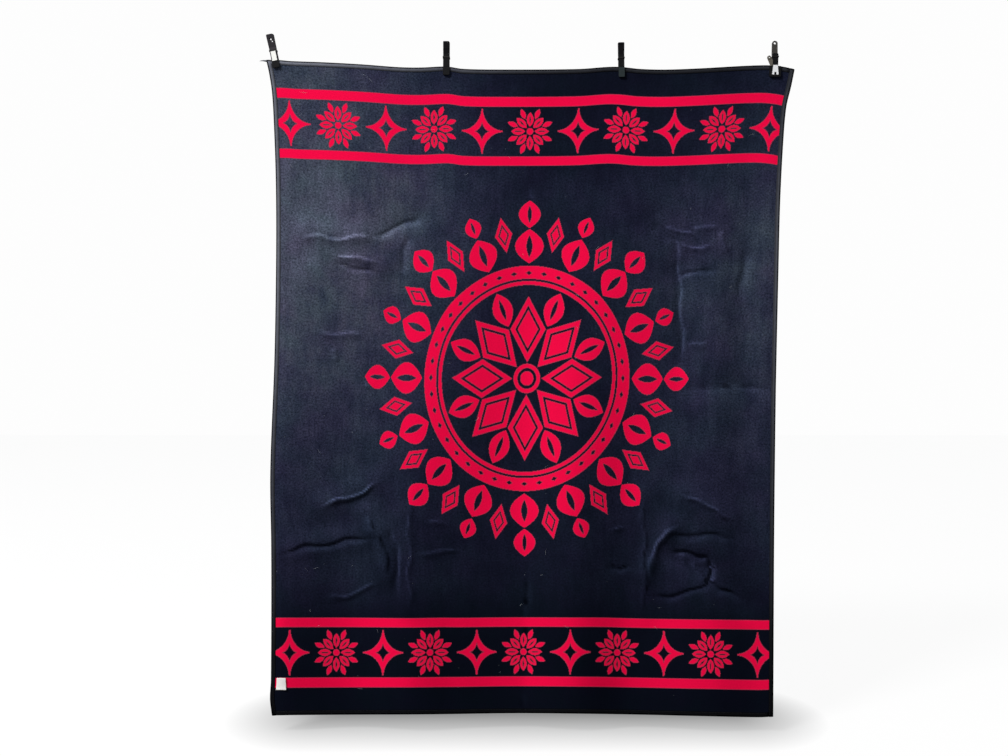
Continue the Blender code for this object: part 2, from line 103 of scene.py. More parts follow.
# (distance down the right edge, distance right of the centre line)
RIGHT_EDGE = (
    (0.00, 0.829),
    (0.05, 0.819),
    (0.12, 0.803),
    (0.24, 0.793),
    (0.42, 0.784),
    (0.62, 0.779),
    (1.00, 0.771),
    (1.45, 0.766),
    (2.032, 0.763),
)
# (distance along the top edge, height above the top line)
TOP_EDGE = (
    (0.000, 0.0275),
    (0.040, 0.0270),
    (0.075, 0.0240),
    (0.170, 0.0205),
    (0.290, 0.0140),
    (0.410, 0.0050),
    (0.475, 0.0040),
    (0.555, 0.0070),
    (0.605, -0.0002),
    (0.730, -0.0024),
    (0.960, -0.0006),
    (1.055, 0.0060),
    (1.095, 0.0055),
    (1.150, -0.0004),
    (1.230, -0.0024),
    (1.335, 0.0014),
    (1.465, 0.0088),
    (1.530, 0.0110),
    (1.565, 0.0100),
    (1.600, 0.0050),
    (1.626, -0.0020),
)
# (distance along the bottom edge, height above the top line)
BOTTOM_EDGE = (
    (0.000, -2.0035),
    (0.060, -2.0025),
    (0.240, -2.0010),
    (0.500, -2.0000),
    (0.800, -1.9965),
    (1.150, -2.0000),
    (1.400, -2.0055),
    (1.580, -2.0090),
    (1.626, -2.0070),
)

# Broad hanging waves. (distance along, how far the cloth stands towards the viewer)
FOOT_WAVE = (
    (0.000, 0.020),
    (0.040, 0.028),
    (0.254, -0.002),
    (0.448, 0.036),
    (0.600, 0.012),
    (0.788, -0.004),
    (0.982, 0.036),
    (1.160, -0.003),
    (1.420, 0.036),
    (1.560, 0.026),
    (1.626, 0.030),
)
MIDDLE_WAVE = (
    (0.000, 0.002),
    (0.110, 0.012),
    (0.270, 0.018),
    (0.420, -0.001),
    (0.600, 0.010),
    (0.840, 0.002),
    (1.120, 0.018),
    (1.325, 0.004),
    (1.430, 0.014),
    (1.520, 0.002),
    (1.590, 0.010),
    (1.626, 0.005),
)
WAVE_START = 0.035
FOLD_FULL = 0.105
FOOT_WAVE_FULL = 1.85
MIDDLE_WAVE_FULL = 0.75
MIDDLE_WAVE_END = 1.75
TOP_BOW = 0.006
TOP_BOW_REACH = 0.45
CLIP_REACH = 0.055

# Places of the clips along the top edge, from the centre line
CLIP_PLACES = (-0.7805, -0.2500, 0.2925, 0.7680)
CLIP_LEANS = (-11.5, 0.5, -1.0, 1.5)

# Main folds, each a soft ridge or trough along a straight run on the flat cloth.
# (start across, start down, end across, end down, half width, height towards the viewer)
FOLDS = (
    (1.220, 0.470, 1.300, 0.610, 0.046, -0.008),
    (1.302, 0.640, 1.322, 0.920, 0.046, -0.008),
    (1.285, 1.520, 1.400, 1.570, 0.040, -0.009),
    (1.395, 1.560, 1.530, 1.680, 0.042, -0.008),
    (1.305, 1.430, 1.215, 1.590, 0.036, 0.009),
    (1.335, 1.345, 1.480, 1.415, 0.038, 0.006),
    (0.165, 1.380, 0.335, 1.305, 0.038, 0.007),
    (0.305, 1.400, 0.370, 1.600, 0.036, 0.009),
    (0.030, 1.520, 0.320, 1.470, 0.040, 0.006),
    (0.100, 0.535, 0.320, 0.540, 0.038, 0.007),
    (0.200, 0.590, 0.345, 0.625, 0.036, 0.006),
    (0.315, 0.540, 0.465, 0.465, 0.036, -0.005),
    (0.825, 1.540, 0.820, 2.020, 0.036, -0.004),
    (0.440, 1.340, 0.445, 1.700, 0.038, 0.004),
    (1.200, 1.340, 1.205, 1.720, 0.038, 0.004),
    (1.320, 1.005, 1.600, 1.000, 0.040, -0.004),
)

# Fine creases, each a ridge or trough along a bent run that fades out at both ends.
# (half width, height towards the viewer, (across, down) of each bend)
CREASES = (
    (0.013, 0.0040, (0.086, 0.546), (0.206, 0.551), (0.306, 0.541)),
    (0.011, 0.0040, (0.191, 0.599), (0.262, 0.606), (0.330, 0.624)),
    (0.010, -0.0030, (0.184, 0.624), (0.259, 0.634), (0.331, 0.653)),
    (0.013, -0.0042, (0.306, 0.535), (0.374, 0.509), (0.436, 0.482), (0.459, 0.467)),
    (0.018, -0.0030, (0.426, 0.526), (0.414, 0.589), (0.402, 0.646)),
    (0.012, 0.0026, (0.146, 0.841), (0.217, 0.848), (0.279, 0.846)),
    (0.012, 0.0022, (0.190, 0.885), (0.205, 0.930)),
    (0.015, -0.0046, (1.218, 0.470), (1.251, 0.506), (1.284, 0.541), (1.301, 0.601)),
    (0.015, -0.0040, (1.300, 0.590), (1.303, 0.683), (1.315, 0.834), (1.323, 0.912)),
    (0.010, 0.0032, (1.261, 0.502), (1.306, 0.513), (1.352, 0.520)),
    (0.010, 0.0032, (1.304, 0.554), (1.352, 0.567), (1.414, 0.559)),
    (0.010, 0.0024, (1.348, 0.501), (1.423, 0.503)),
    (0.011, -0.0030, (1.305, 0.645), (1.360, 0.642), (1.415, 0.628)),
    (0.020, -0.0034, (1.514, 0.561), (1.509, 0.652), (1.501, 0.739)),
    (0.012, 0.0024, (1.439, 0.519), (1.466, 0.585)),
    (0.011, 0.0022, (1.339, 0.865), (1.407, 0.866)),
    (0.010, 0.0046, (0.171, 1.384), (0.213, 1.368), (0.261, 1.348), (0.300, 1.338), (0.342, 1.308)),
    (0.016, 0.0046, (0.306, 1.406), (0.322, 1.446), (0.348, 1.474), (0.364, 1.523), (0.374, 1.589)),
    (0.013, -0.0034, (0.384, 1.454), (0.406, 1.512), (0.412, 1.653)),
    (0.012, -0.0040, (0.035, 1.527), (0.119, 1.510), (0.193, 1.500), (0.248, 1.490), (0.326, 1.475)),
    (0.012, 0.0022, (0.177, 1.672), (0.238, 1.662), (0.300, 1.641), (0.342, 1.627)),
    (0.011, 0.0020, (0.471, 1.528), (0.562, 1.523), (0.604, 1.518)),
    (0.011, 0.0022, (0.513, 1.434), (0.562, 1.435)),
    (0.010, 0.0038, (1.334, 1.343), (1.415, 1.376), (1.489, 1.411)),
    (0.014, -0.0028, (1.302, 1.466), (1.373, 1.464), (1.489, 1.470)),
    (0.015, 0.0046, (1.311, 1.435), (1.273, 1.464), (1.253, 1.490), (1.237, 1.535), (1.221, 1.593)),
    (0.012, -0.0052, (1.302, 1.520), (1.344, 1.516), (1.373, 1.527), (1.415, 1.536)),
    (0.013, -0.0050, (1.405, 1.536), (1.428, 1.564), (1.419, 1.608), (1.451, 1.636), (1.525, 1.670)),
    (0.010, 0.0034, (1.360, 1.540), (1.373, 1.565), (1.399, 1.586), (1.415, 1.608)),
    (0.011, -0.0030, (1.231, 1.659), (1.299, 1.655), (1.347, 1.647), (1.393, 1.630), (1.419, 1.621)),
    (0.011, -0.0026, (1.092, 1.557), (1.131, 1.574), (1.166, 1.571)),
    (0.011, 0.0022, (1.105, 1.460), (1.140, 1.448)),
    (0.009, -0.0016, (0.822, 0.300), (0.823, 0.415)),
    (0.009, -0.0020, (0.826, 1.551), (0.822, 1.790), (0.818, 2.020)),
    (0.010, 0.0018, (0.448, 1.345), (0.446, 1.703)),
    (0.010, 0.0018, (1.206, 1.348), (1.209, 1.707)),
    (0.010, -0.0020, (1.335, 1.004), (1.605, 1.002)),
    (0.010, 0.0018, (0.283, 1.009), (0.337, 0.988)),
)
CREASE_FADE = 0.22
CREASE_STRENGTH = 0.6
# How much an upright crease, and a main fold, counts in the painted light and shade on the creases
UPRIGHT_PAINTED_SHARE = 0.9
FOLD_PAINTED_SHARE = 0.2
# Each crease is steeper on its upper side, by this share of its half width
CREASE_STEEPNESS = 0.42
# Wander of the creases: (reach, turn rate across, turn rate down)
CREASE_WANDER = (
    (0.0045, 19.0, 43.0),
    (0.0022, 87.0, -59.0),
)

# Slight unevenness all over the cloth. (turns per metre, height)
UNEVENNESS = (
    (5.0, 0.0012),
    (13.0, 0.0005),
)

# Woven stripes. (middle, distance down; half height)
STRIPES = (
    (0.1020, 0.0138),
    (0.2890, 0.0138),
    (1.7440, 0.0138),
    (1.9310, 0.0138),
)
PATTERN_MIDDLE = 0.8165
PATTERN_HALF_WIDTH = 0.8130
# The lower bands start this much further in at their left end
LOWER_MARGIN = 0.0055

# Rows of stars and flowers between the stripes. (distance down, spacing across)
MOTIF_ROWS = ((0.195, 0.1529), (1.838, 0.1515))
STAR_WIDTH = 0.127
STAR_HEIGHT = 0.138
STAR_ROUND = 1.08
STAR_TIP = 1.0
STAR_SWELL = 0.0010
STAR_HOLE_WIDTH = 0.048
STAR_HOLE_HEIGHT = 0.060
STAR_HOLE_ROUND = 1.25

# Flower: (count, turn as a share of one step, start, end, half width, half width of its slit)
FLOWER_PETALS = (
    (8, 0.0, 0.0160, 0.0590, 0.0100, 0.0034),
    (8, 0.5, 0.0430, 0.0750, 0.0066, 0.0),
)
FLOWER_HEART = 0.0095

# Round figure in the middle of the cloth
MEDALLION_ACROSS = 0.819
MEDALLION_DOWN = 0.975
MEDALLION_SQUEEZE = 0.934
MEDALLION_EDGE = 0.525
MEDALLION_HEART = 0.020
# Rings: (inner radius, outer radius)
MEDALLION_RINGS = (
    (0.0320, 0.0420),
    (0.2770, 0.2860),
    (0.2950, 0.3310),
)
# Rhombs: (count, turn, middle, half length, half width, dark line's depth in, its half width)
MEDALLION_RHOMBS = (
    (8, 0.0, 0.1450, 0.0950, 0.0560, 0.0160, 0.0046),
    (16, 0.5, 0.4300, 0.0500, 0.0270, 0.0105, 0.0034),
)
# Petals: as for the flower
MEDALLION_PETALS = (
    (8, 0.5, 0.1660, 0.2690, 0.0310, 0.0080),
    (16, 0.0, 0.3400, 0.4400, 0.0450, 0.0110),
    (8, 0.0, 0.4440, 0.5240, 0.0340, 0.0080),
    (8, 0.5, 0.4470, 0.5080, 0.0250, 0.0060),
)
# Dark lozenges cut from the broad ring: count, middle, half length, half width
RING_CUTS = (40, 0.3110, 0.0075, 0.0120)
SLIT_INSET = 0.16

# Weave
WEAVE_CELL = 0.0019
OUTLINE_WIDTH = 0.0019

# Painted sheen on the nap, as soft patches that make the navy paler, strongest towards the upper
# left. (across, down, reach across, reach down, strength)
PAINTED_SHEEN_PATCHES = (
    (0.04, 0.42, 0.46, 0.66, 0.125),
    (0.50, 0.36, 0.24, 0.24, 0.018),
    (0.34, 0.84, 0.30, 0.36, 0.014),
    (0.90, 0.50, 0.40, 0.30, 0.010),
    (1.42, 0.66, 0.34, 0.50, 0.046),
    (1.62, 0.60, 0.16, 0.60, 0.036),
    (0.10, 1.35, 0.40, 0.35, 0.016),
    (1.45, 1.35, 0.40, 0.32, 0.016),
    (0.80, 1.35, 0.90, 0.45, 0.008),
    (0.05, 0.02, 0.50, 0.14, 0.026),
    (1.60, 0.05, 0.14, 0.12, 0.007),
    (0.15, 1.62, 0.50, 0.14, 0.006),
    (1.30, 1.62, 0.60, 0.14, 0.003),
)
# Spans over which the painted sheen changes: a little stronger below the upper band, and much weaker
# from above the lower one down
UPPER_BAND_END = (0.26, 0.40)
LOWER_BAND_START = (1.62, 1.74)
NAVY = (0.0027, 0.0038, 0.0078)
# Colours of the painted sheen: bluer where it is faint, greyer where it is strong
BLUE_TINT = (0.42, 0.50, 1.12)
GREY_TINT = (0.60, 0.67, 0.97)
TEAL_CAST = (0.93, 1.06, 0.98)
VIOLET_CAST = (1.07, 0.94, 1.04)
# Painted light and shade on the creases: how much paler a side facing up and left, and how much
# darker a side facing down
CREASE_PAINTED_LIGHT = 4.4
CREASE_PAINTED_SHADE = 2.2
CRIMSON = (0.840, 0.0035, 0.055)
OUTLINE_COLOUR = (0.430, 0.035, 0.080)
TAPE_COLOUR = (0.082, 0.086, 0.104)
THREAD_COLOUR = (0.022, 0.022, 0.028)
LINT_COLOUR = (0.42, 0.46, 0.50)
FUZZ_SCALE = 3000.0

# Painted highlight along the tape's crown, with painted shade in the fold at its edge and half shade
# towards the seam: distances in from the edge between which the highlight rises and falls
PAINTED_CROWN_RISE = (0.0030, 0.0058)
PAINTED_CROWN_FALL = (0.0092, 0.0118)

# Sewing
STITCH_PITCH = 0.0050
STITCH_LENGTH = 0.0036
STITCH_RADIUS = 0.00032
STITCH_INSET = 0.0022
STITCH_RINGS = 5

# Blank label
LABEL_WIDTH = 0.032
LABEL_HEIGHT = 0.037
LABEL_ACROSS = 0.0190
LABEL_DOWN = 1.916
LABEL_THICKNESS = 0.0005
LABEL_LIFT = 0.0025
LABEL_SLANT = 0.004
LABEL_COLOUR = (0.84, 0.82, 0.79)
LABEL_THREAD_RATE = 9000.0
LABEL_COLUMNS = 16
LABEL_ROWS = 18

# Pointed end of the left tape at the top corner
TAIL_LENGTH = 0.024
TAIL_HEIGHT = 0.006
# The tail is coloured with the tape's painted crown highlight at this place on the flat cloth
TAIL_FLAT_PLACE = (0.0065, 0.90)

# Loose fibres
FIBRE_COUNT = 46
FIBRE_RADIUS = 0.00022
FIBRE_SEED = 11

# Pitch of the ridges on the clips' rubber, and rounding of the clips' edges
GRIP_PITCH = 0.0028
MOULDED_BEVEL = 0.0006
BAND_BEVEL = 0.0002
TAB_BEVEL = 0.0003
PLATE_BEVEL = 0.00018

# Small details on the clips' fronts: name, clip, across, up, depth, tilt, shape, finish, slot.
# A shape of three numbers is a bar's sizes. Any other shape is a round piece's profile.
ROUND_SIDES = 20
DOME = ((0.0018, 0.0), (0.0018, 0.0003), (0.0013, 0.0007), (0.0005, 0.0009))
EYELET = (
    (0.0048, 0.0), (0.0052, 0.0003), (0.0052, 0.0011), (0.0047, 0.0014),
    (0.0032, 0.0014), (0.0028, 0.0006),
)
CLIP_DETAILS = (
    ("clip_1_rivet", 1, 0.0050, 0.0533, 0.0119, 12.7, DOME, "clip_4_jaw_plate", "steel"),
    ("clip_2_rib", 2, 0.0, 0.0530, 0.0119, 13.5, (0.0172, 0.0012, 0.0007), "leg", "black_plastic"),
    ("clip_3_rib", 3, 0.0, 0.0675, 0.0158, 14.2, (0.0154, 0.0012, 0.0007), "leg", "black_plastic"),
    ("clip_4_eyelet", 4, -0.01975, 0.0240, 0.0083, 0.0, EYELET, "tab", "dark_steel"),
    ("clip_4_rivet", 4, -0.01975, 0.0240, 0.0089, 0.0, DOME, "clip_4_jaw_plate", "steel"),
)

# Camera and stage
VIEW_WIDTH = 3.125
SENSOR_WIDTH = 36.0
FLOOR_Z = -2.1345
FLOOR_SIZE = 30.0
FLOOR_COLOUR = (0.10, 0.10, 0.10)
FLOOR_BOUNCE_COLOUR = (0.25, 0.25, 0.25)
FLOOR_FAR_COLOUR = (0.06, 0.06, 0.06)
FLOOR_GLOW_NEAR = 0.26
FLOOR_GLOW_FAR = 0.93
FLOOR_FADE = (0.0, 0.31)
# Painted shadow on the floor: its glow is weakest along this line behind the blanket's foot: half
# length, distance back
FLOOR_PAINTED_SHADOW = (0.66, 0.14)
WORLD_SEEN = 0.985
WORLD_CAST = 0.37
KEY_PLACE = (-6.0, -5.5, 6.5)
KEY_TARGET = (0.0, 0.0, -0.9)
KEY_SIZE = 2.4
KEY_POWER = 1460.0


# Shape of the hanging cloth

def smooth_step(value, low, high):
    """0 below low, 1 above high, and a smooth rise between them."""
    share = np.clip((value - low) / (high - low), 0.0, 1.0)
    return share * share * (3.0 - 2.0 * share)


def smooth_value(table, places):
    """Values at places on the smooth curve through a table's (place, value) rows."""
    at, values = np.array(table).T
    row = np.clip(np.searchsorted(at, places) - 1, 0, len(at) - 2)
    before, after = np.maximum(row - 1, 0), np.minimum(row + 2, len(at) - 1)
    span = at[row + 1] - at[row]
    share = np.clip((places - at[row]) / span, 0.0, 1.0)
    slope_in = (values[row + 1] - values[before]) / (at[row + 1] - at[before]) * span
    slope_out = (values[after] - values[row]) / (at[after] - at[row]) * span
    square, cube = share ** 2, share ** 3
    return (
        (2 * cube - 3 * square + 1) * values[row]
        + (cube - 2 * square + share) * slope_in
        + (3 * square - 2 * cube) * values[row + 1]
        + (cube - square) * slope_out
    )


def run_distance(across, down, start, end):
    """Distance from a straight run on the flat cloth, the share along it, and if above it."""
    run_across, run_down = end[0] - start[0], end[1] - start[1]
    length_squared = run_across ** 2 + run_down ** 2
    share = ((across - start[0]) * run_across + (down - start[1]) * run_down) / length_squared
    share = np.clip(share, 0.0, 1.0)
    beside, below = across - start[0] - share * run_across, down - start[1] - share * run_down
    above = below * abs(run_across) - beside * run_down * np.sign(run_across) < 0.0
    return np.hypot(beside, below), share, above


def fold_depth(across, down):
    """Sum of the main folds' ridges and troughs at places on the flat cloth."""
    total = np.zeros_like(across)
    for start_across, start_down, end_across, end_down, half_width, height in FOLDS:
        start, end = (start_across, start_down), (end_across, end_down)
        distance, _share, _above = run_distance(across, down, start, end)
        total += height * np.exp(-(distance / half_width) ** 2)
    return total


def wandered(across, down):
    """Places moved a little to and fro, so that creases don't run quite straight."""
    moved_across, moved_down = across, down
    for reach, turn_across, turn_down in CREASE_WANDER:
        moved_across = moved_across + reach * np.sin(turn_across * across + turn_down * down)
        moved_down = moved_down + reach * np.sin(turn_down * across - turn_across * down)
    return moved_across, moved_down


def crease_depth(across, down):
    """Sum of the fine creases at places on the flat cloth."""
    across, down = wandered(across, down)
    total = np.zeros_like(across)
    for half_width, height, *bends in CREASES:
        nearest = np.full_like(across, np.inf)
        along = np.zeros_like(across)
        width = np.full_like(across, half_width)
        spans = len(bends) - 1
        for index, (start, end) in enumerate(zip(bends, bends[1:])):
            distance, share, above = run_distance(across, down, start, end)
            closer = distance < nearest
            side_width = np.where(above, half_width * CREASE_STEEPNESS, half_width)
            width = np.where(closer, side_width, width)
            nearest = np.where(closer, distance, nearest)
            along = np.where(closer, (index + share) / spans, along)
        fade = smooth_step(np.minimum(along, 1.0 - along), -0.06, CREASE_FADE)
        total += CREASE_STRENGTH * height * fade * np.exp(-(nearest / width) ** 2)
    return total


def nap_lean(across, down):
    """How far each place faces up and left on its crease; the cloth's colour is painted paler or
    darker by it, as painted light and shade.
    """
    step = NORMAL_STEP
    descent = crease_depth(across, down + step) - crease_depth(across, down - step)
    along = crease_depth(across + step, down) - crease_depth(across - step, down)
    folds = fold_depth(across, down + step) - fold_depth(across, down - step)
    return (descent + UPRIGHT_PAINTED_SHARE * along + FOLD_PAINTED_SHARE * folds) / (2 * step)


def top_bow(across):
    """How far the top edge bows out between neighbouring clips; nought beside each clip."""
    places = [BLANKET_WIDTH / 2 + place for place in CLIP_PLACES]
    total = np.zeros_like(across)
    for left_clip, right_clip in zip(places, places[1:]):
        left, right = left_clip + CLIP_REACH, right_clip - CLIP_REACH
        share = np.clip((across - left) / (right - left), 0.0, 1.0)
        total += TOP_BOW * np.sin(pi * share) ** 2
    return total


def uneven_depth(across, down):
    """Slight unevenness of the cloth at places on it."""
    total = np.zeros(across.shape)
    for index, place in np.ndenumerate(across):
        spot = Vector((place, down[index], 0.0))
        total[index] = sum(height * noise.noise(spot * turns) for turns, height in UNEVENNESS)
    return total


def cloth_depth(across, down):
    """How far the cloth's middle stands towards the viewer from the hanging plane."""
    foot = smooth_value(FOOT_WAVE, across) * smooth_step(down, WAVE_START, FOOT_WAVE_FULL)
    rise = smooth_step(down, WAVE_START, MIDDLE_WAVE_FULL)
    fall = 1.0 - smooth_step(down, MIDDLE_WAVE_FULL, MIDDLE_WAVE_END)
    middle = smooth_value(MIDDLE_WAVE, across) * rise * fall
    bow = top_bow(across) * (1.0 - smooth_step(down, 0.0, TOP_BOW_REACH))
    folds = fold_depth(across, down) + crease_depth(across, down) + uneven_depth(across, down)
    return foot + middle + bow + folds * smooth_step(down, WAVE_START, FOLD_FULL)


def cloth_points(across, down):
    """Places in the hanging cloth's middle surface of places on the flat cloth."""
    left = -smooth_value(LEFT_EDGE, down)
    right = smooth_value(RIGHT_EDGE, down)
    top = smooth_value(TOP_EDGE, across)
    bottom = smooth_value(BOTTOM_EDGE, across)
    hanging = np.stack((
        left + (right - left) * across / BLANKET_WIDTH,
        np.zeros_like(across),
        TOP_LINE_Z + top + (bottom - top) * down / BLANKET_HEIGHT,
    ), axis=-1)
    nearer = (cloth_depth(across, down) / -VIEWER[1])[..., None]
    return hanging * (1.0 - nearer) + np.array(VIEWER) * nearer


def cloth_normals(across, down):
    """Unit normals of the cloth's face, towards the viewer."""
    low_across = np.clip(across - NORMAL_STEP, 0.0, BLANKET_WIDTH - NORMAL_STEP)
    high_across = np.clip(across + NORMAL_STEP, NORMAL_STEP, BLANKET_WIDTH)
    low_down = np.clip(down - NORMAL_STEP, 0.0, BLANKET_HEIGHT - NORMAL_STEP)
    high_down = np.clip(down + NORMAL_STEP, NORMAL_STEP, BLANKET_HEIGHT)
    along = cloth_points(high_across, down) - cloth_points(low_across, down)
    descent = cloth_points(across, high_down) - cloth_points(across, low_down)
    normals = np.cross(descent, along)
    return normals / np.linalg.norm(normals, axis=-1, keepdims=True)


def on_cloth(across, down, height):
    """Places at heights over the cloth's middle surface, towards the viewer."""
    across, down, height = np.broadcast_arrays(
        np.asarray(across, float), np.asarray(down, float), np.asarray(height, float)
    )
    return cloth_points(across, down) + cloth_normals(across, down) * height[..., None]


# Meshes

def add_mesh(name, points, faces, materials, face_slots=None, smooth=True):
    """A named mesh that rides on the body, finished with the materials given."""
    mesh = bpy.data.meshes.new(name)
    mesh.from_pydata([tuple(point) for point in points], [], faces)
    for material in materials:
        mesh.materials.append(material)
    if face_slots is not None:
        mesh.polygons.foreach_set("material_index", face_slots)
    mesh.polygons.foreach_set("use_smooth", [smooth] * len(faces))
    mesh.update()
    made = bpy.data.objects.new(name, mesh)
    bpy.context.scene.collection.objects.link(made)
    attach(made, BODY)
    return made


def add_flat_places(made, flat):
    """Store each corner's place on the flat cloth as the map that the pattern reads."""
    mesh = made.data
    corners = np.empty(len(mesh.loops), dtype=int)
    mesh.loops.foreach_get("vertex_index", corners)
    layer = mesh.uv_layers.new(name="flat_cloth")
    places = np.asarray(flat)[corners] / BLANKET_HEIGHT
    places[:, 1] = 1.0 - places[:, 1]
    layer.data.foreach_set("uv", places.ravel())


def grid_faces(rows, columns, first=0):
    """Quads of a grid of points that is stored row by row."""
    return [
        (at, at + columns, at + columns + 1, at + 1)
        for row in range(rows - 1)
        for at in range(first + row * columns, first + row * columns + columns - 1)
    ]


def flipped(faces):
    """The same faces, seen from behind."""
    return [tuple(reversed(face)) for face in faces]


def grid_rim(rows, columns):
    """Quads between the outlines of a grid and of the like grid that is stored after it."""
    ring = (
        list(range(columns))
        + [row * columns + columns - 1 for row in range(1, rows)]
        + [(rows - 1) * columns + column for column in range(columns - 2, -1, -1)]
        + [row * columns for row in range(rows - 2, 0, -1)]
    )
    count = rows * columns
    return [
        (start, end, end + count, start + count) for start, end in zip(ring, ring[1:] + ring[:1])
    ]


def tube_faces(rings, sides, first=0, capped=True):
    """Quads between rings of points, with a cap over each end."""
    faces = []
    for ring in range(rings - 1):
        base = first + ring * sides
        for side in range(sides):
            beside = (side + 1) % sides
            faces.append((base + side, base + beside, base + sides + beside, base + sides + side))
    if capped:
        last = first + (rings - 1) * sides
        faces.append(tuple(reversed(range(first, first + sides))))
        faces.append(tuple(range(last, last + sides)))
    return faces


def grid_lines(length, cells, creased):
    """Places of the sheet's grid lines along one side, closer together in the creased spans."""
    first = TAPE_THICKNESS + FIT_GAP
    place = np.linspace(RIM_CELL, length - RIM_CELL, 40 * cells)
    density = np.ones_like(place)
    for low, high in creased:
        middle, half = (low + high) / 2, (high - low) / 2
        inside = smooth_step(half + 0.04 - abs(place - middle), 0.0, 0.08)
        density += (CREASED_FINENESS - 1.0) * inside
    passed = np.cumsum(density)
    inner = np.interp(np.linspace(passed[0], passed[-1], cells - 1), passed, place)
    return np.concatenate(([first], inner, [length - first]))


def columns_across():
    """Places of the sheet's grid lines across its width."""
    return grid_lines(BLANKET_WIDTH, SHEET_COLUMNS, CREASED_ACROSS)


def rows_down():
    """Places of the sheet's grid lines down its height."""
    return grid_lines(BLANKET_HEIGHT, SHEET_ROWS, CREASED_DOWN)


def make_cloth(materials):
    """The woven sheet: a face, a back and a narrow rim between them."""
    across, down = np.meshgrid(columns_across(), rows_down())
    rows, columns = across.shape
    middle, normals = cloth_points(across, down), cloth_normals(across, down)
    half = CLOTH_THICKNESS / 2
    points = np.concatenate([
        (middle + normals * half).reshape(-1, 3), (middle - normals * half).reshape(-1, 3)
    ])
    face = grid_faces(rows, columns)
    back = flipped(grid_faces(rows, columns, rows * columns))
    rim = grid_rim(rows, columns)
    slots = [0] * len(face) + [1] * (len(back) + len(rim))
    cloth = add_mesh("woven_blanket", points, face + back + rim, materials, slots)
    flat = np.stack((across.ravel(), down.ravel()), axis=-1)
    add_flat_places(cloth, np.concatenate((flat, flat)))
    # Painted light and shade of the creases, kept on the points for the material; turned over on the
    # back
    lean = nap_lean(across, down).ravel()
    layer = cloth.data.attributes.new("nap_lean", "FLOAT", "POINT")
    layer.data.foreach_set("value", np.concatenate((lean, -lean)))
    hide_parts("blanket_panel")
    return cloth


def tape_section():
    """Closed section of the folded tape: (distance in from the edge, height over the cloth).

    The tape is thin where it is sewn down, crowned along its middle and round at the fold.
    """
    inside = CLOTH_THICKNESS / 2 + FIT_GAP
    outside = inside + TAPE_THICKNESS
    over = [
        (TAPE_WIDTH, inside + 0.35 * TAPE_THICKNESS),
        (TAPE_WIDTH - 0.0006, outside - 0.0003),
        (TAPE_WIDTH - STITCH_INSET, outside - 0.0001),
        (0.64 * TAPE_WIDTH, outside + 0.8 * TAPE_CROWN),
        (0.45 * TAPE_WIDTH, outside + TAPE_CROWN),
        (0.25 * TAPE_WIDTH, outside + 0.6 * TAPE_CROWN),
        (0.08 * TAPE_WIDTH, outside - 0.4 * TAPE_CROWN),
        (-0.0002, 0.55 * outside),
        (-0.0006, 0.0),
    ]
    under = [(inward, -height) for inward, height in reversed(over[:-1])]
    lining = [
        (TAPE_WIDTH, -inside),
        (TAPE_THICKNESS, -inside),
        (TAPE_THICKNESS, inside),
        (TAPE_WIDTH, inside),
    ]
    return over + under + lining


def make_tape(stations, place):
    """One folded tape over an edge. place(station, distance in) is on the flat cloth."""
    section = np.array(tape_section())
    station, inward = np.meshgrid(stations, section[:, 0], indexing="ij")
    across, down = place(station, inward)
    points = on_cloth(across, down, np.broadcast_to(section[:, 1], across.shape))
    flat = np.stack((across.ravel(), down.ravel()), axis=-1)
    return points.reshape(-1, 3), flat, tube_faces(len(stations), len(section))


def make_tail():
    """Pointed end of the left tape, which sticks out at the top corner."""
    sides, rings = 8, 9
    root = on_cloth(0.0006, TAIL_HEIGHT * 0.55, 0.0)
    points = []
    for ring in range(rings):
        share = ring / (rings - 1)
        shrink = (1.0 - share) ** 0.8 + 0.02
        lift = 0.0016 * sin(pi * share)
        for side in range(sides):
            angle = 2 * pi * side / sides
            points.append((
                root[0] - TAIL_LENGTH * share,
                root[1] - 0.0028 * shrink * cos(angle),
                root[2] + lift + 0.5 * TAIL_HEIGHT * shrink * sin(angle),
            ))
    return np.array(points), tube_faces(rings, sides)


def make_tapes(material):
    """Side tapes over the full height, top and bottom tapes butted between them."""
    inset = TAPE_WIDTH + FIT_GAP
    columns = columns_across()[2:-2]
    columns = np.concatenate(([inset], columns, [BLANKET_WIDTH - inset]))
    rows = rows_down()[2:-2]
    rows = np.concatenate(([0.0, TAIL_HEIGHT], rows, [BLANKET_HEIGHT]))
    places = {
        "top": (columns, lambda along, inward: (along, inward)),
        "bottom": (columns, lambda along, inward: (along, BLANKET_HEIGHT - inward)),
        "left": (rows, lambda along, inward: (inward, along)),
        "right": (rows, lambda along, inward: (BLANKET_WIDTH - inward, along)),
    }
    tapes = []
    for side, (stations, place) in places.items():
        points, flat, faces = make_tape(stations, place)
        if side in ("bottom", "left"):
            faces = flipped(faces)
        if side == "left":
            tail_points, tail_faces = make_tail()
            faces += [tuple(len(points) + corner for corner in face) for face in tail_faces]
            points = np.concatenate((points, tail_points))
            flat = np.concatenate((flat, np.tile(TAIL_FLAT_PLACE, (len(tail_points), 1))))
        tape = add_mesh("tape_" + side, points, faces, [material])
        add_flat_places(tape, flat)
        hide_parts("binding_" + side)
        tapes.append(tape)
    return tapes


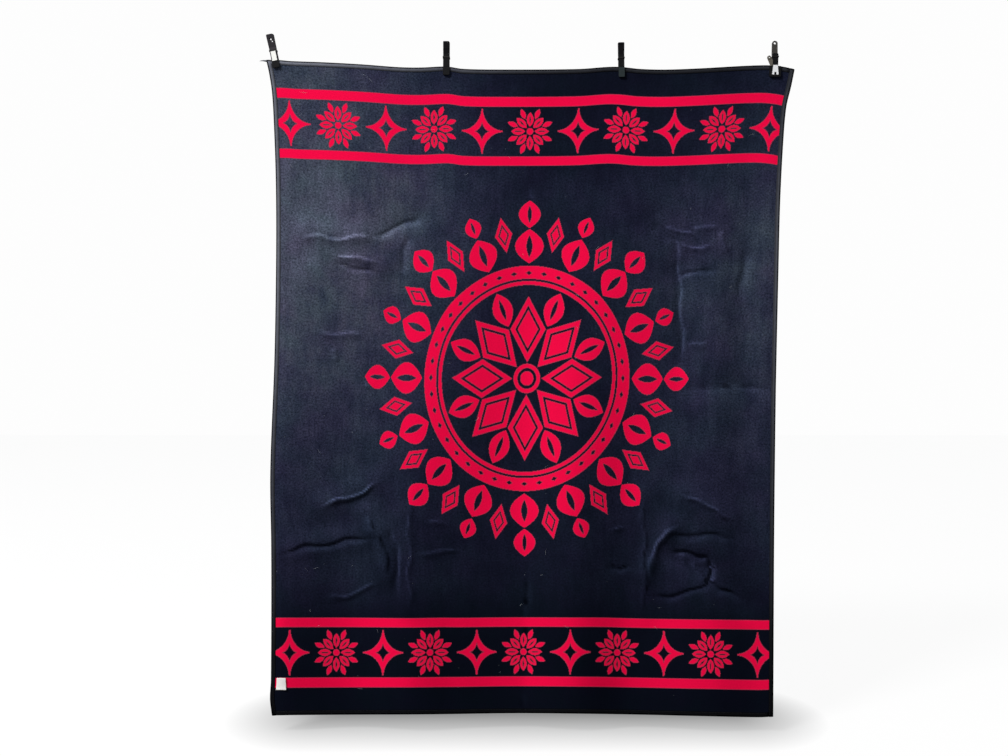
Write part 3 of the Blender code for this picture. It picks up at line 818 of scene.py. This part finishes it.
def make_stitches(material):
    """Running stitches along the inner edge of each tape, on the face and on the back."""
    surface = CLOTH_THICKNESS / 2 + FIT_GAP + TAPE_THICKNESS
    inset = TAPE_WIDTH - STITCH_INSET
    along_side = np.arange(0.004, BLANKET_HEIGHT - 0.004, STITCH_PITCH)
    along_end = np.arange(TAPE_WIDTH + 0.004, BLANKET_WIDTH - TAPE_WIDTH - 0.004, STITCH_PITCH)
    share = np.linspace(0.0, 1.0, STITCH_RINGS)
    rise = STITCH_RADIUS * (1.2 * np.sin(pi * share) - 0.9)
    corner = np.array([0.0, 0.5, 1.0, 1.5]) * pi
    points, faces = [], []
    for centres, upright, edge in (
        (along_side, True, inset), (along_side, True, BLANKET_WIDTH - inset),
        (along_end, False, inset), (along_end, False, BLANKET_HEIGHT - inset),
    ):
        for face in (1.0, -1.0):
            station = centres[:, None, None] + (share[:, None] - 0.5) * STITCH_LENGTH
            beside = edge + STITCH_RADIUS * np.cos(corner)
            height = face * (surface + rise[:, None] + STITCH_RADIUS * np.sin(corner))
            station, beside, height = np.broadcast_arrays(station, beside, height)
            flat = (beside, station) if upright else (station, beside)
            made = on_cloth(*flat, height).reshape(-1, 3)
            size = STITCH_RINGS * len(corner)
            start = sum(len(part) for part in points)
            for first in range(start, start + len(made), size):
                stitch = tube_faces(STITCH_RINGS, len(corner), first)
                faces += stitch if upright == (face > 0) else flipped(stitch)
            points.append(made)
    return add_mesh("tape_stitches", np.concatenate(points), faces, [material])


def make_label(material):
    """Blank woven label, sewn along its left edge and a little off the cloth at its right."""
    share_across, share_down = np.meshgrid(
        np.linspace(0.0, 1.0, LABEL_COLUMNS + 1), np.linspace(0.0, 1.0, LABEL_ROWS + 1)
    )
    width = LABEL_WIDTH - LABEL_SLANT * (1.0 - share_down)
    across = LABEL_ACROSS + width * share_across
    down = LABEL_DOWN + LABEL_HEIGHT * share_down
    base = CLOTH_THICKNESS / 2 + 2 * FIT_GAP
    curl = 0.0008 * smooth_step(share_down, 0.75, 1.0)
    wave = 0.0003 * np.sin(2.5 * pi * share_down) * share_across
    height = base + LABEL_LIFT * share_across ** 2 + curl + wave
    under = on_cloth(across, down, height).reshape(-1, 3)
    over = on_cloth(across, down, height + LABEL_THICKNESS).reshape(-1, 3)
    rows, columns = across.shape
    faces = flipped(grid_faces(rows, columns)) + grid_faces(rows, columns, rows * columns)
    faces += flipped(grid_rim(rows, columns))
    label = add_mesh("blank_label", np.concatenate((under, over)), faces, [material])
    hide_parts("care_label")
    return label


def make_fibres(material):
    """Loose pale fibres that cling to the cloth, each a thin bent strand."""
    chance = np.random.default_rng(FIBRE_SEED)
    sides, rings = 3, 9
    share = np.linspace(0.0, 1.0, rings)
    angle = 2 * pi * np.arange(sides) / sides
    points, faces = [], []
    for _fibre in range(FIBRE_COUNT):
        length = chance.uniform(0.006, 0.022) if _fibre else 0.045
        heading = chance.uniform(0, 2 * pi)
        bend = chance.uniform(-1.6, 1.6)
        start_across = chance.uniform(0.03, BLANKET_WIDTH - 0.06)
        start_down = chance.uniform(0.03, BLANKET_HEIGHT - 0.08)
        if not _fibre:
            start_across, start_down, heading, bend = 0.285, 0.028, 0.35, 0.7
        direction = heading + bend * share
        step = length / (rings - 1)
        across = start_across + np.cumsum(np.cos(direction)) * step
        down = start_down + np.cumsum(np.sin(direction)) * step
        radius = FIBRE_RADIUS * (0.35 + 0.65 * np.sin(pi * share))
        beside = radius[:, None] * np.cos(angle)
        lift = CLOTH_THICKNESS / 2 + 0.0002 + radius[:, None] * (1.0 + np.sin(angle))
        made = on_cloth(
            across[:, None] - beside * np.sin(direction)[:, None],
            down[:, None] + beside * np.cos(direction)[:, None],
            lift,
        ).reshape(-1, 3)
        faces += tube_faces(rings, sides, sum(len(part) for part in points))
        points.append(made)
    return add_mesh("loose_fibres", np.concatenate(points), faces, [material])


# Node maths

class Shade:
    """A number worked out by a material's nodes, so that node maths reads as plain sums."""

    def __init__(self, tree, socket):
        self.tree = tree
        self.socket = socket

    def using(self, operation, *others):
        """This number and others put through one Math node."""
        node = self.tree.nodes.new("ShaderNodeMath")
        node.operation = operation
        for slot, value in zip(node.inputs, (self, *others)):
            if isinstance(value, Shade):
                self.tree.links.new(value.socket, slot)
            else:
                slot.default_value = value
        return Shade(self.tree, node.outputs[0])

    def __add__(self, other):
        return self.using("ADD", other)

    def __sub__(self, other):
        return self.using("SUBTRACT", other)

    def __mul__(self, other):
        return self.using("MULTIPLY", other)

    def __neg__(self):
        return self.using("MULTIPLY", -1.0)

    def __abs__(self):
        return self.using("ABSOLUTE")

    def clamped(self):
        """This number held between 0 and 1."""
        made = self.using("ADD", 0.0)
        made.socket.node.use_clamp = True
        return made

    def between(self, low, high):
        """0 at or below low, 1 at or above high, and even between them."""
        return ((self - low) * (1.0 / (high - low))).clamped()


def hypotenuse(first, second):
    return (first * first + second * second).using("SQRT")


def joined(shapes):
    """Figure made of several. Each figure is a number: distance outside it, or below 0 in it."""
    return reduce(lambda first, second: first.using("MINIMUM", second), shapes)


def cut_out(shape, hole):
    """Figure less another one."""
    return shape.using("MAXIMUM", -hole)


def new_node(tree, kind, **settings):
    """A node with its settings made."""
    node = tree.nodes.new(kind)
    for name, value in settings.items():
        setattr(node, name, value)
    return node


def feed(tree, slot, value):
    """Set an input to a value, or link it to a socket or a worked-out number."""
    if isinstance(value, Shade):
        value = value.socket
    if isinstance(value, bpy.types.NodeSocket):
        tree.links.new(value, slot)
    elif slot.type == "RGBA" and len(value) == 3:
        slot.default_value = (*value, 1.0)
    else:
        slot.default_value = value


def set_inputs(tree, node, **values):
    """Feed a node's inputs by name, with _ for a space."""
    for name, value in values.items():
        feed(tree, node.inputs[name.replace("_", " ")], value)
    return node


def new_material(name):
    """An empty node material with its shader."""
    material = bpy.data.materials.new(name)
    material.use_nodes = True
    tree = material.node_tree
    shader = tree.nodes["Principled BSDF"]
    return material, tree, shader


def noise_shade(tree, vector, scale, detail=3.0, roughness=0.55):
    """Noise between 0 and 1."""
    node = new_node(tree, "ShaderNodeTexNoise")
    set_inputs(tree, node, Vector=vector, Scale=scale, Detail=detail, Roughness=roughness)
    return Shade(tree, node.outputs[0])


def stretched(tree, vector, scales):
    """Places scaled by their own number along each direction."""
    node = new_node(tree, "ShaderNodeMapping")
    return set_inputs(tree, node, Scale=scales, Vector=vector).outputs[0]


def blend(tree, share, first, second, kind="MIX"):
    """Two colours blended by a share; returns the colour's socket."""
    node = new_node(tree, "ShaderNodeMix", data_type="RGBA", blend_type=kind)
    for index, value in ((0, share), (6, first), (7, second)):
        feed(tree, node.inputs[index], value)
    return node.outputs[2]


def scaled(tree, colour, share):
    """A colour times a number."""
    node = new_node(tree, "ShaderNodeVectorMath", operation="SCALE")
    feed(tree, node.inputs[0], colour)
    feed(tree, node.inputs["Scale"], share)
    return node.outputs[0]


def sum_of(tree, first, second):
    """Two colours added."""
    node = new_node(tree, "ShaderNodeVectorMath", operation="ADD")
    feed(tree, node.inputs[0], first)
    feed(tree, node.inputs[1], second)
    return node.outputs[0]


def parts_of(tree, vector):
    """The three numbers of a vector."""
    apart = new_node(tree, "ShaderNodeSeparateXYZ")
    tree.links.new(vector, apart.inputs[0])
    return [Shade(tree, output) for output in apart.outputs]


def surface(tree, shader, colour, roughness, specular=0.5, metallic=0.0):
    """Feed a shader's colour and how it shines."""
    set_inputs(tree, shader, Base_Color=colour, Roughness=roughness, Metallic=metallic)
    shader.inputs["Specular IOR Level"].default_value = specular


def bumped(tree, shader, height, distance, strength=1.0):
    """Roughen a shader's surface by a height between 0 and 1."""
    bump = new_node(tree, "ShaderNodeBump")
    set_inputs(tree, bump, Height=height, Distance=distance, Strength=strength)
    tree.links.new(bump.outputs[0], shader.inputs["Normal"])


# Woven pattern

def flat_places(tree):
    """Distances across and down the flat cloth, in metres."""
    layer = new_node(tree, "ShaderNodeUVMap", uv_map="flat_cloth")
    across, up, _nought = parts_of(tree, layer.outputs[0])
    return across * BLANKET_HEIGHT, (-up + 1.0) * BLANKET_HEIGHT


def in_cells(place):
    """A distance moved to the middle of its weave cell."""
    return place.using("SNAP", WEAVE_CELL) + WEAVE_CELL / 2


def pointed_star(across, down, width, height, roundness):
    """Star of four points between four inward curves."""
    half = width / 2
    reach = ((1.0 - roundness) ** 2 + roundness ** 2) ** 0.5
    beside = abs(across) * (2.0 / width) - roundness
    above = abs(down) * (2.0 / height) - roundness
    star = (-hypotenuse(beside, above) + reach) * half - STAR_SWELL
    box = (abs(across) - half * STAR_TIP).using("MAXIMUM", abs(down) - height / 2 * STAR_TIP)
    return star.using("MAXIMUM", box)


def petal_ring(radius, angle, count, turn, start, end, half_width, slit):
    """Ring of petals, each with a slit along its middle if the slit has a width."""
    step = 2 * pi / count
    beside_angle = (angle + turn * step).using("WRAP", step / 2, -step / 2)
    along = radius * beside_angle.using("COSINE")
    beside = abs(radius * beside_angle.using("SINE"))
    middle, half_length = (start + end) / 2, (end - start) / 2
    place = (along - middle) * (1.0 / half_length)
    petal = beside + (place * place - 1.0) * half_width
    if not slit:
        return petal
    slit_place = (along - middle) * (1.0 / (half_length * (1.0 - 2 * SLIT_INSET)))
    return cut_out(petal, beside + (slit_place * slit_place - 1.0) * slit)


def rhomb_ring(radius, angle, count, turn, middle, half_length, half_width, depth, line):
    """Ring of rhombs, each with a dark line inside its edge."""
    step = 2 * pi / count
    beside_angle = (angle + turn * step).using("WRAP", step / 2, -step / 2)
    along = abs(radius * beside_angle.using("COSINE") - middle)
    beside = abs(radius * beside_angle.using("SINE"))
    slope = (half_length ** 2 + half_width ** 2) ** 0.5
    rhomb = along * (half_width / slope) + beside * (half_length / slope)
    rhomb = rhomb - half_length * half_width / slope
    if not line:
        return rhomb
    return cut_out(rhomb, abs(rhomb + depth) - line)


def flower(across, down):
    """Small flower of eight split petals with leaves between them."""
    radius, angle = hypotenuse(across, down), across.using("ARCTAN2", down)
    petals = [petal_ring(radius, angle, *row) for row in FLOWER_PETALS]
    return joined(petals + [radius - FLOWER_HEART])


def medallion(across, down):
    """Large round figure of rhombs, petals and rings in the middle of the cloth."""
    beside = across - MEDALLION_ACROSS
    below = (down - MEDALLION_DOWN) * MEDALLION_SQUEEZE
    radius, angle = hypotenuse(beside, below), beside.using("ARCTAN2", below)
    rings = [
        abs(radius - (inner + outer) / 2) - (outer - inner) / 2
        for inner, outer in MEDALLION_RINGS
    ]
    count, middle, half_length, half_width = RING_CUTS
    cuts = rhomb_ring(radius, angle, count, 0.0, middle, half_length, half_width, 0.0, 0.0)
    rings[-1] = cut_out(rings[-1], cuts)
    petals = [petal_ring(radius, angle, *row) for row in MEDALLION_PETALS]
    rhombs = [rhomb_ring(radius, angle, *row) for row in MEDALLION_RHOMBS]
    figure = joined(rings + petals + rhombs + [radius - MEDALLION_HEART])
    return figure.using("MAXIMUM", radius - MEDALLION_EDGE)


def woven_figures(across, down):
    """The whole pattern as one number: distance outside its figures, or below 0 in them."""
    from_middle = across - PATTERN_MIDDLE
    stripes = joined([abs(down - middle) - half for middle, half in STRIPES])
    (upper, upper_spacing), (lower, lower_spacing) = MOTIF_ROWS
    row_down = joined([abs(down - upper), abs(down - lower)])
    in_lower = down.using("GREATER_THAN", (upper + lower) / 2)
    spacing = in_lower * (lower_spacing - upper_spacing) + upper_spacing
    star_across = from_middle.using("WRAP", spacing * 2.0, 0.0) - spacing
    flower_across = from_middle.using("WRAP", spacing, -spacing)
    star = cut_out(
        pointed_star(star_across, row_down, STAR_WIDTH, STAR_HEIGHT, STAR_ROUND),
        pointed_star(star_across, row_down, STAR_HOLE_WIDTH, STAR_HOLE_HEIGHT, STAR_HOLE_ROUND),
    )
    figures = joined([stripes, star, flower(flower_across, row_down), medallion(across, down)])
    drawn_in = in_lower * (LOWER_MARGIN / 2)
    past_end = abs(from_middle - drawn_in) + drawn_in - PATTERN_HALF_WIDTH
    return figures.using("MAXIMUM", past_end)


def painted_sheen(across, down):
    """Strength of the painted sheen at a place: the sum of the soft patches."""
    patches = []
    for patch_across, patch_down, reach_across, reach_down, strength in PAINTED_SHEEN_PATCHES:
        beside = (across - patch_across) * (1.0 / reach_across)
        below = (down - patch_down) * (1.0 / reach_down)
        patches.append((-(beside * beside + below * below)).using("EXPONENT") * strength)
    return reduce(lambda first, second: first + second, patches)


def nap_height(tree, across, down, vector):
    """Height of the napped twill between 0 and 1."""
    turns = 2 * pi / (2 * WEAVE_CELL)
    ribs = ((across + down * 0.6) * turns).using("SINE") * 0.5 + 0.5
    hairs = noise_shade(tree, vector, 900.0, 2.0, 0.7)
    tufts = noise_shade(tree, vector, 170.0, 4.0, 0.65)
    return ribs * 0.22 + hairs * 0.38 + tufts * 0.40


def lint_specks(tree, vector):
    """1 on small pale specks of lint, scattered unevenly."""
    cells = new_node(tree, "ShaderNodeTexVoronoi", feature="F1")
    set_inputs(tree, cells, Vector=vector, Scale=46.0, Randomness=1.0)
    chance = new_node(tree, "ShaderNodeSeparateColor")
    tree.links.new(cells.outputs["Color"], chance.inputs[0])
    size = Shade(tree, chance.outputs[0]) - 0.45
    speck = (-Shade(tree, cells.outputs["Distance"]) + size * 0.075).using("GREATER_THAN", 0.0)
    return speck * Shade(tree, chance.outputs[1])


def ground_with_painted_sheen(tree, across, down, vector, mottle):
    """Colour of the ground: navy, painted paler by a sheen in soft patches that grows weaker towards
    the bottom.
    """
    cloudy = noise_shade(tree, vector, 9.0, 4.0, 0.6)
    brushed = noise_shade(tree, stretched(tree, vector, (1.0, 0.22, 1.0)), 42.0, 4.0, 0.65)
    sheen_mottle = (mottle * 4.2 - 1.1).using("MAXIMUM", 0.05)
    # Painted sheen: the soft patches, weaker towards the bottom and broken up by cloudy, brushed and
    # mottled noise
    bands = down.between(*UPPER_BAND_END) * 0.20 - down.between(*LOWER_BAND_START) * 0.60 + 0.82
    fade = (painted_sheen(across, down) + 0.003) * bands * (cloudy * 1.1 + 0.15) * (brushed * 1.1 + 0.45)
    hue = noise_shade(tree, vector, 5.0, 3.0, 0.6).between(0.38, 0.62)
    tint = blend(tree, fade.between(0.008, 0.075), BLUE_TINT, GREY_TINT)
    ground = sum_of(tree, NAVY, scaled(tree, tint, fade * sheen_mottle))
    return blend(tree, 1.0, ground, blend(tree, hue, TEAL_CAST, VIOLET_CAST), "MULTIPLY")


def creased(tree, ground, down):
    """The ground's colour painted paler where a crease faces up and left, and darker where it faces
    down, more so lower down: painted light and shade.
    """
    layer = new_node(tree, "ShaderNodeAttribute", attribute_name="nap_lean")
    lean = Shade(tree, layer.outputs["Fac"])
    paler = lean.using("MAXIMUM", 0.0) * CREASE_PAINTED_LIGHT
    darker = lean.using("MINIMUM", 0.0) * CREASE_PAINTED_SHADE * down
    return scaled(tree, ground, (paler + darker + 1.0).using("MAXIMUM", 0.35))


def with_figures(tree, ground, across, down, mottle):
    """The crimson figures and their thin outlines over the ground."""
    figures = woven_figures(in_cells(across), in_cells(down))
    outline = (-figures + OUTLINE_WIDTH).using("GREATER_THAN", 0.0)
    inside = figures.using("LESS_THAN", 0.0)
    edge = scaled(tree, OUTLINE_COLOUR, mottle * 0.8 + 0.5)
    crimson = scaled(tree, CRIMSON, mottle * 0.28 + 0.86)
    return blend(tree, inside, blend(tree, outline, ground, edge), crimson)


def wool_material(name, patterned):
    """Napped wool: dark navy ground, with crimson figures woven in if it is patterned."""
    material, tree, shader = new_material(name)
    across, down = flat_places(tree)
    place = new_node(tree, "ShaderNodeCombineXYZ")
    vector = set_inputs(tree, place, X=across, Y=down).outputs[0]
    mottle = noise_shade(tree, vector, 170.0, 4.0, 0.75)
    # The ground carries painted sheen in soft patches and painted light and shade on its creases
    ground = creased(tree, ground_with_painted_sheen(tree, across, down, vector, mottle), down)
    colour = blend(tree, lint_specks(tree, vector) * 0.55, ground, LINT_COLOUR)
    if patterned:
        colour = with_figures(tree, colour, across, down, mottle)
    surface(tree, shader, colour, 0.95, 0.0)
    bumped(tree, shader, nap_height(tree, across, down, vector), 0.0012, 0.8)
    return material


# Other materials

def object_places(tree):
    """Places in the shared frame, in metres."""
    return new_node(tree, "ShaderNodeTexCoord").outputs["Object"]


def tape_material():
    """Felted tape, with a painted highlight along its crown, painted shade in its fold, painted
    light along the top edge, and the cloth's painted sheen.
    """
    material, tree, shader = new_material("tape_felt")
    across, down = flat_places(tree)
    vector = object_places(tree)
    inward = joined([across, down, -across + BLANKET_WIDTH, -down + BLANKET_HEIGHT])
    painted_crown_light = inward.between(*PAINTED_CROWN_RISE) * (inward.between(*PAINTED_CROWN_FALL) * -0.5 + 1.0)
    hairs = noise_shade(tree, vector, 420.0, 4.0, 0.7)
    tufts = noise_shade(tree, vector, 60.0, 3.0, 0.6)
    # Painted light: the top tape is painted paler, most at its left end, and the tape takes the
    # cloth's painted sheen patches
    top = (down * -50.0 + 1.0).clamped() * (across * -0.6 + 0.95)
    worn = painted_sheen(across, down) * 13.0 + top + 0.04
    level = (painted_crown_light * 0.94 + 0.06) * (hairs * 0.7 + tufts * 0.5 + 0.4) * worn
    surface(tree, shader, scaled(tree, TAPE_COLOUR, level), 0.95, 0.0)
    bumped(tree, shader, hairs * 0.6 + tufts * 0.4, 0.0005)
    return material


def fuzzy_material(name, colour, variation, roughness, bump):
    """Thread or lint."""
    material, tree, shader = new_material(name)
    vector = object_places(tree)
    hairs = noise_shade(tree, vector, FUZZ_SCALE, 4.0, 0.7)
    tufts = noise_shade(tree, vector, FUZZ_SCALE / 6, 3.0, 0.6)
    level = hairs * variation + tufts * variation + (1.0 - variation)
    surface(tree, shader, scaled(tree, colour, level), roughness, 0.1)
    bumped(tree, shader, hairs * 0.6 + tufts * 0.4, bump)
    return material


def label_material():
    """Plain white satin-woven label, a little soiled."""
    material, tree, shader = new_material("label_weave")
    vector = object_places(tree)
    wefts, _depth, threads = [
        (place * LABEL_THREAD_RATE).using("SINE") * 0.5 + 0.5 for place in parts_of(tree, vector)
    ]
    soil = noise_shade(tree, vector, 70.0, 3.0)
    level = soil * 0.16 + threads * 0.05 + 0.84
    surface(tree, shader, scaled(tree, LABEL_COLOUR, level), 0.75)
    bumped(tree, shader, threads * 0.5 + wefts * 0.5, 0.0001)
    return material


def plastic_material(name, colour, roughness, worn, shine=0.08):
    """Moulded plastic with a fine grain, a little dust and paler worn spots."""
    material, tree, shader = new_material(name)
    vector = object_places(tree)
    grain = noise_shade(tree, vector, 1400.0, 2.0)
    smudge = noise_shade(tree, vector, 90.0, 4.0, 0.65)
    wear = smudge.between(0.58, 0.72) * grain * 0.5
    surface(tree, shader, blend(tree, wear, colour, worn), smudge * 0.25 + roughness, shine)
    bumped(tree, shader, grain, 0.00012)
    return material


def rubber_material(name, colour):
    """Dark rubber with moulded grip ridges, its colour painted darker in the grooves between them.
    """
    material, tree, shader = new_material(name)
    vector = object_places(tree)
    ridges = (parts_of(tree, vector)[2] * (2 * pi / GRIP_PITCH)).using("SINE") * 0.5 + 0.5
    dust = noise_shade(tree, vector, 260.0, 4.0, 0.65)
    # Painted shade: the colour is darker in the grooves between the ridges; the dust is the rubber's
    # own
    level = dust * 0.8 + ridges * 0.35 + 0.40
    surface(tree, shader, scaled(tree, colour, level), 0.72, 0.12)
    bumped(tree, shader, ridges * 0.8 + dust * 0.2, 0.0004)
    return material


def steel_material(name, colour, roughness, metallic=1.0):
    """Rolled spring steel, brushed along its height."""
    material, tree, shader = new_material(name)
    vector = object_places(tree)
    brushed = noise_shade(tree, stretched(tree, vector, (1.0, 1.0, 0.06)), 2600.0, 3.0, 0.6)
    spots = noise_shade(tree, vector, 220.0, 4.0, 0.6)
    level = brushed * 0.25 + spots * 0.2 + 0.75
    rough = spots * 0.22 + brushed * 0.12 + roughness
    surface(tree, shader, scaled(tree, colour, level), rough, metallic=metallic)
    bumped(tree, shader, brushed, 0.00006)
    return material


# Clips

def dress_node(name, material, bevel):
    """Give a CAD node its finish and rounded edges."""
    node = bpy.data.objects[name]
    node.data.materials.clear()
    node.data.materials.append(material)
    rounding = node.modifiers.new("rounded_edges", "BEVEL")
    rounding.width = bevel
    rounding.segments = 3
    rounding.limit_method = "ANGLE"
    rounding.angle_limit = radians(35)
    rounding.harden_normals = True
    for polygon in node.data.polygons:
        polygon.use_smooth = True


def bar(width, height, thickness):
    """Points and faces of a plain bar that stands off a clip's face."""
    corners = ((-width, -height), (width, -height), (width, height), (-width, height))
    points = [(across / 2, -depth, up / 2) for depth in (0.0, thickness) for across, up in corners]
    return np.array(points), tube_faces(2, 4)


def turned(profile):
    """Points and faces of a round piece, from its (radius, height off the clip) profile."""
    points = [
        (radius * cos(2 * pi * side / ROUND_SIDES), -lift, radius * sin(2 * pi * side / ROUND_SIDES))
        for radius, lift in profile
        for side in range(ROUND_SIDES)
    ]
    return np.array(points), tube_faces(len(profile), ROUND_SIDES)


def on_clip(points, number, across, up, depth, tilt):
    """Move points to a place on a clip's front, tilted back with its leg."""
    clip_across = CLIP_PLACES[number - 1]
    edge = smooth_value(TOP_EDGE, np.array([BLANKET_WIDTH / 2 + clip_across]))[0]
    foot = Matrix.Translation((clip_across, 0.0, TOP_LINE_Z + edge))
    lean = Matrix.Rotation(radians(CLIP_LEANS[number - 1]), 4, "Y")
    spot = Matrix.Translation((across, -depth, up)) @ Matrix.Rotation(radians(tilt), 4, "X")
    moved = np.array(foot @ lean @ spot)
    return points @ moved[:3, :3].T + moved[:3, 3]


def dress_clips():
    """Finish every piece of the clips that keeps its own shape."""
    black = plastic_material("black_plastic", (0.006, 0.006, 0.007), 0.5, (0.03, 0.03, 0.03))
    dusty = plastic_material("dusty_plastic", (0.034, 0.031, 0.036), 0.5, (0.10, 0.09, 0.10))
    worn = plastic_material("worn_plastic", (0.045, 0.042, 0.038), 0.5, (0.20, 0.19, 0.17))
    pale = plastic_material("pale_plastic", (0.82, 0.82, 0.78), 0.42, (0.64, 0.62, 0.56), 0.3)
    rubber = rubber_material("grip_rubber", (0.005, 0.005, 0.006))
    grey_rubber = rubber_material("dusty_rubber", (0.020, 0.028, 0.030))
    blackened = steel_material("blackened_steel", (0.030, 0.029, 0.028), 0.5)
    tab_steel = steel_material("tab_steel", (0.15, 0.135, 0.11), 0.40, 0.5)
    bright = steel_material("bright_steel", (0.93, 0.94, 0.95), 0.30, 0.3)
    finishes = {
        "leg": (black, MOULDED_BEVEL),
        "clip_1_front_leg": (dusty, MOULDED_BEVEL),
        "clip_4_rear_leg": (worn, MOULDED_BEVEL),
        "shoe": (rubber, MOULDED_BEVEL),
        "clip_3_front_shoe": (grey_rubber, MOULDED_BEVEL),
        "band": (blackened, BAND_BEVEL),
        "tab": (tab_steel, TAB_BEVEL),
        "clip_1_plate": (pale, PLATE_BEVEL),
        "clip_4_jaw_plate": (bright, PLATE_BEVEL),
    }
    for node in bpy.data.objects:
        if not node.name.startswith("clip_") or node.type != "MESH":
            continue
        kind = node.name if node.name in finishes else node.name.split("_")[-1]
        dress_node(node.name, *finishes[kind])
    for name, number, across, up, depth, tilt, shape, kind, slot in CLIP_DETAILS:
        points, faces = bar(*shape) if len(shape) == 3 else turned(shape)
        points = on_clip(points, number, across, up, depth, tilt)
        add_mesh(name, points, faces, [finishes[kind][0]], smooth=len(shape) != 3)


# Stage, lights and camera

def make_floor():
    """Plain pale floor, which to the camera is as white as the wall light behind it, with a painted
    shadow where its glow is weaker along the blanket's foot.
    """
    material, tree, shader = new_material("pale_floor")
    seen = Shade(tree, new_node(tree, "ShaderNodeLightPath").outputs["Is Camera Ray"])
    across, depth, _height = parts_of(tree, object_places(tree))
    half_length, back = FLOOR_PAINTED_SHADOW
    beside = (abs(across) - half_length).using("MAXIMUM", 0.0)
    far = hypotenuse(beside, depth - back).between(*FLOOR_FADE)
    # Painted shadow: to the camera the glow is weakest along the line behind the foot and grows away
    # from it
    glow = seen * (far * (FLOOR_GLOW_FAR - FLOOR_GLOW_NEAR) + FLOOR_GLOW_NEAR)
    shown = blend(tree, far, FLOOR_COLOUR, FLOOR_FAR_COLOUR)
    colour = blend(tree, seen, FLOOR_BOUNCE_COLOUR, shown)
    surface(tree, shader, colour, 0.9, 0.1)
    set_inputs(tree, shader, Emission_Color=(1.0, 1.0, 1.0), Emission_Strength=glow)
    half = FLOOR_SIZE / 2
    mesh = bpy.data.meshes.new("floor")
    corners = ((-half, -half), (half, -half), (half, half), (-half, half))
    mesh.from_pydata([(*corner, FLOOR_Z) for corner in corners], [], [(0, 1, 2, 3)])
    mesh.materials.append(material)
    floor = bpy.data.objects.new("floor", mesh)
    bpy.context.scene.collection.objects.link(floor)


def make_world():
    """White to the camera, and soft even light to everything else."""
    world = bpy.data.worlds.new("studio")
    world.use_nodes = True
    tree = world.node_tree
    tree.nodes.clear()
    seen = new_node(tree, "ShaderNodeBackground")
    set_inputs(tree, seen, Color=(1.0, 1.0, 1.0), Strength=WORLD_SEEN)
    cast = new_node(tree, "ShaderNodeBackground")
    set_inputs(tree, cast, Color=(0.97, 0.985, 1.0), Strength=WORLD_CAST)
    rays = new_node(tree, "ShaderNodeLightPath")
    mixed = new_node(tree, "ShaderNodeMixShader")
    tree.links.new(rays.outputs["Is Camera Ray"], mixed.inputs[0])
    tree.links.new(cast.outputs[0], mixed.inputs[1])
    tree.links.new(seen.outputs[0], mixed.inputs[2])
    output = new_node(tree, "ShaderNodeOutputWorld")
    tree.links.new(mixed.outputs[0], output.inputs[0])
    bpy.context.scene.world = world


def make_key_light():
    """A large square soft light, high at the front left."""
    light = bpy.data.lights.new("key", "AREA")
    light.shape = "SQUARE"
    light.size = KEY_SIZE
    light.energy = KEY_POWER
    made = bpy.data.objects.new("key", light)
    made.location = KEY_PLACE
    heading = Vector(KEY_TARGET) - Vector(KEY_PLACE)
    made.rotation_euler = heading.to_track_quat("-Z", "Y").to_euler()
    bpy.context.scene.collection.objects.link(made)


def make_camera():
    """Level camera in front of the cloth, as in the photograph."""
    camera = bpy.data.cameras.new("camera")
    camera.sensor_width = SENSOR_WIDTH
    camera.lens = SENSOR_WIDTH * -VIEWER[1] / VIEW_WIDTH
    camera.clip_end = 100.0
    made = bpy.data.objects.new("camera", camera)
    made.location = VIEWER
    made.rotation_euler = Euler((pi / 2, 0.0, 0.0))
    bpy.context.scene.collection.objects.link(made)
    bpy.context.scene.camera = made


def main():
    """Build the whole scene."""
    cloth = make_cloth([wool_material("wool_face", True), wool_material("wool_back", False)])
    tape_felt = tape_material()
    thread = fuzzy_material("thread", THREAD_COLOUR, 0.3, 0.8, 0.0001)
    lint = fuzzy_material("lint", LINT_COLOUR, 0.2, 0.9, 0.00005)
    tapes = make_tapes(tape_felt)
    pieces = tapes + [make_stitches(thread), make_label(label_material()), make_fibres(lint)]
    dress_clips()
    make_floor()
    make_world()
    make_key_light()
    make_camera()
    bpy.context.scene.view_settings.view_transform = "Standard"


main()
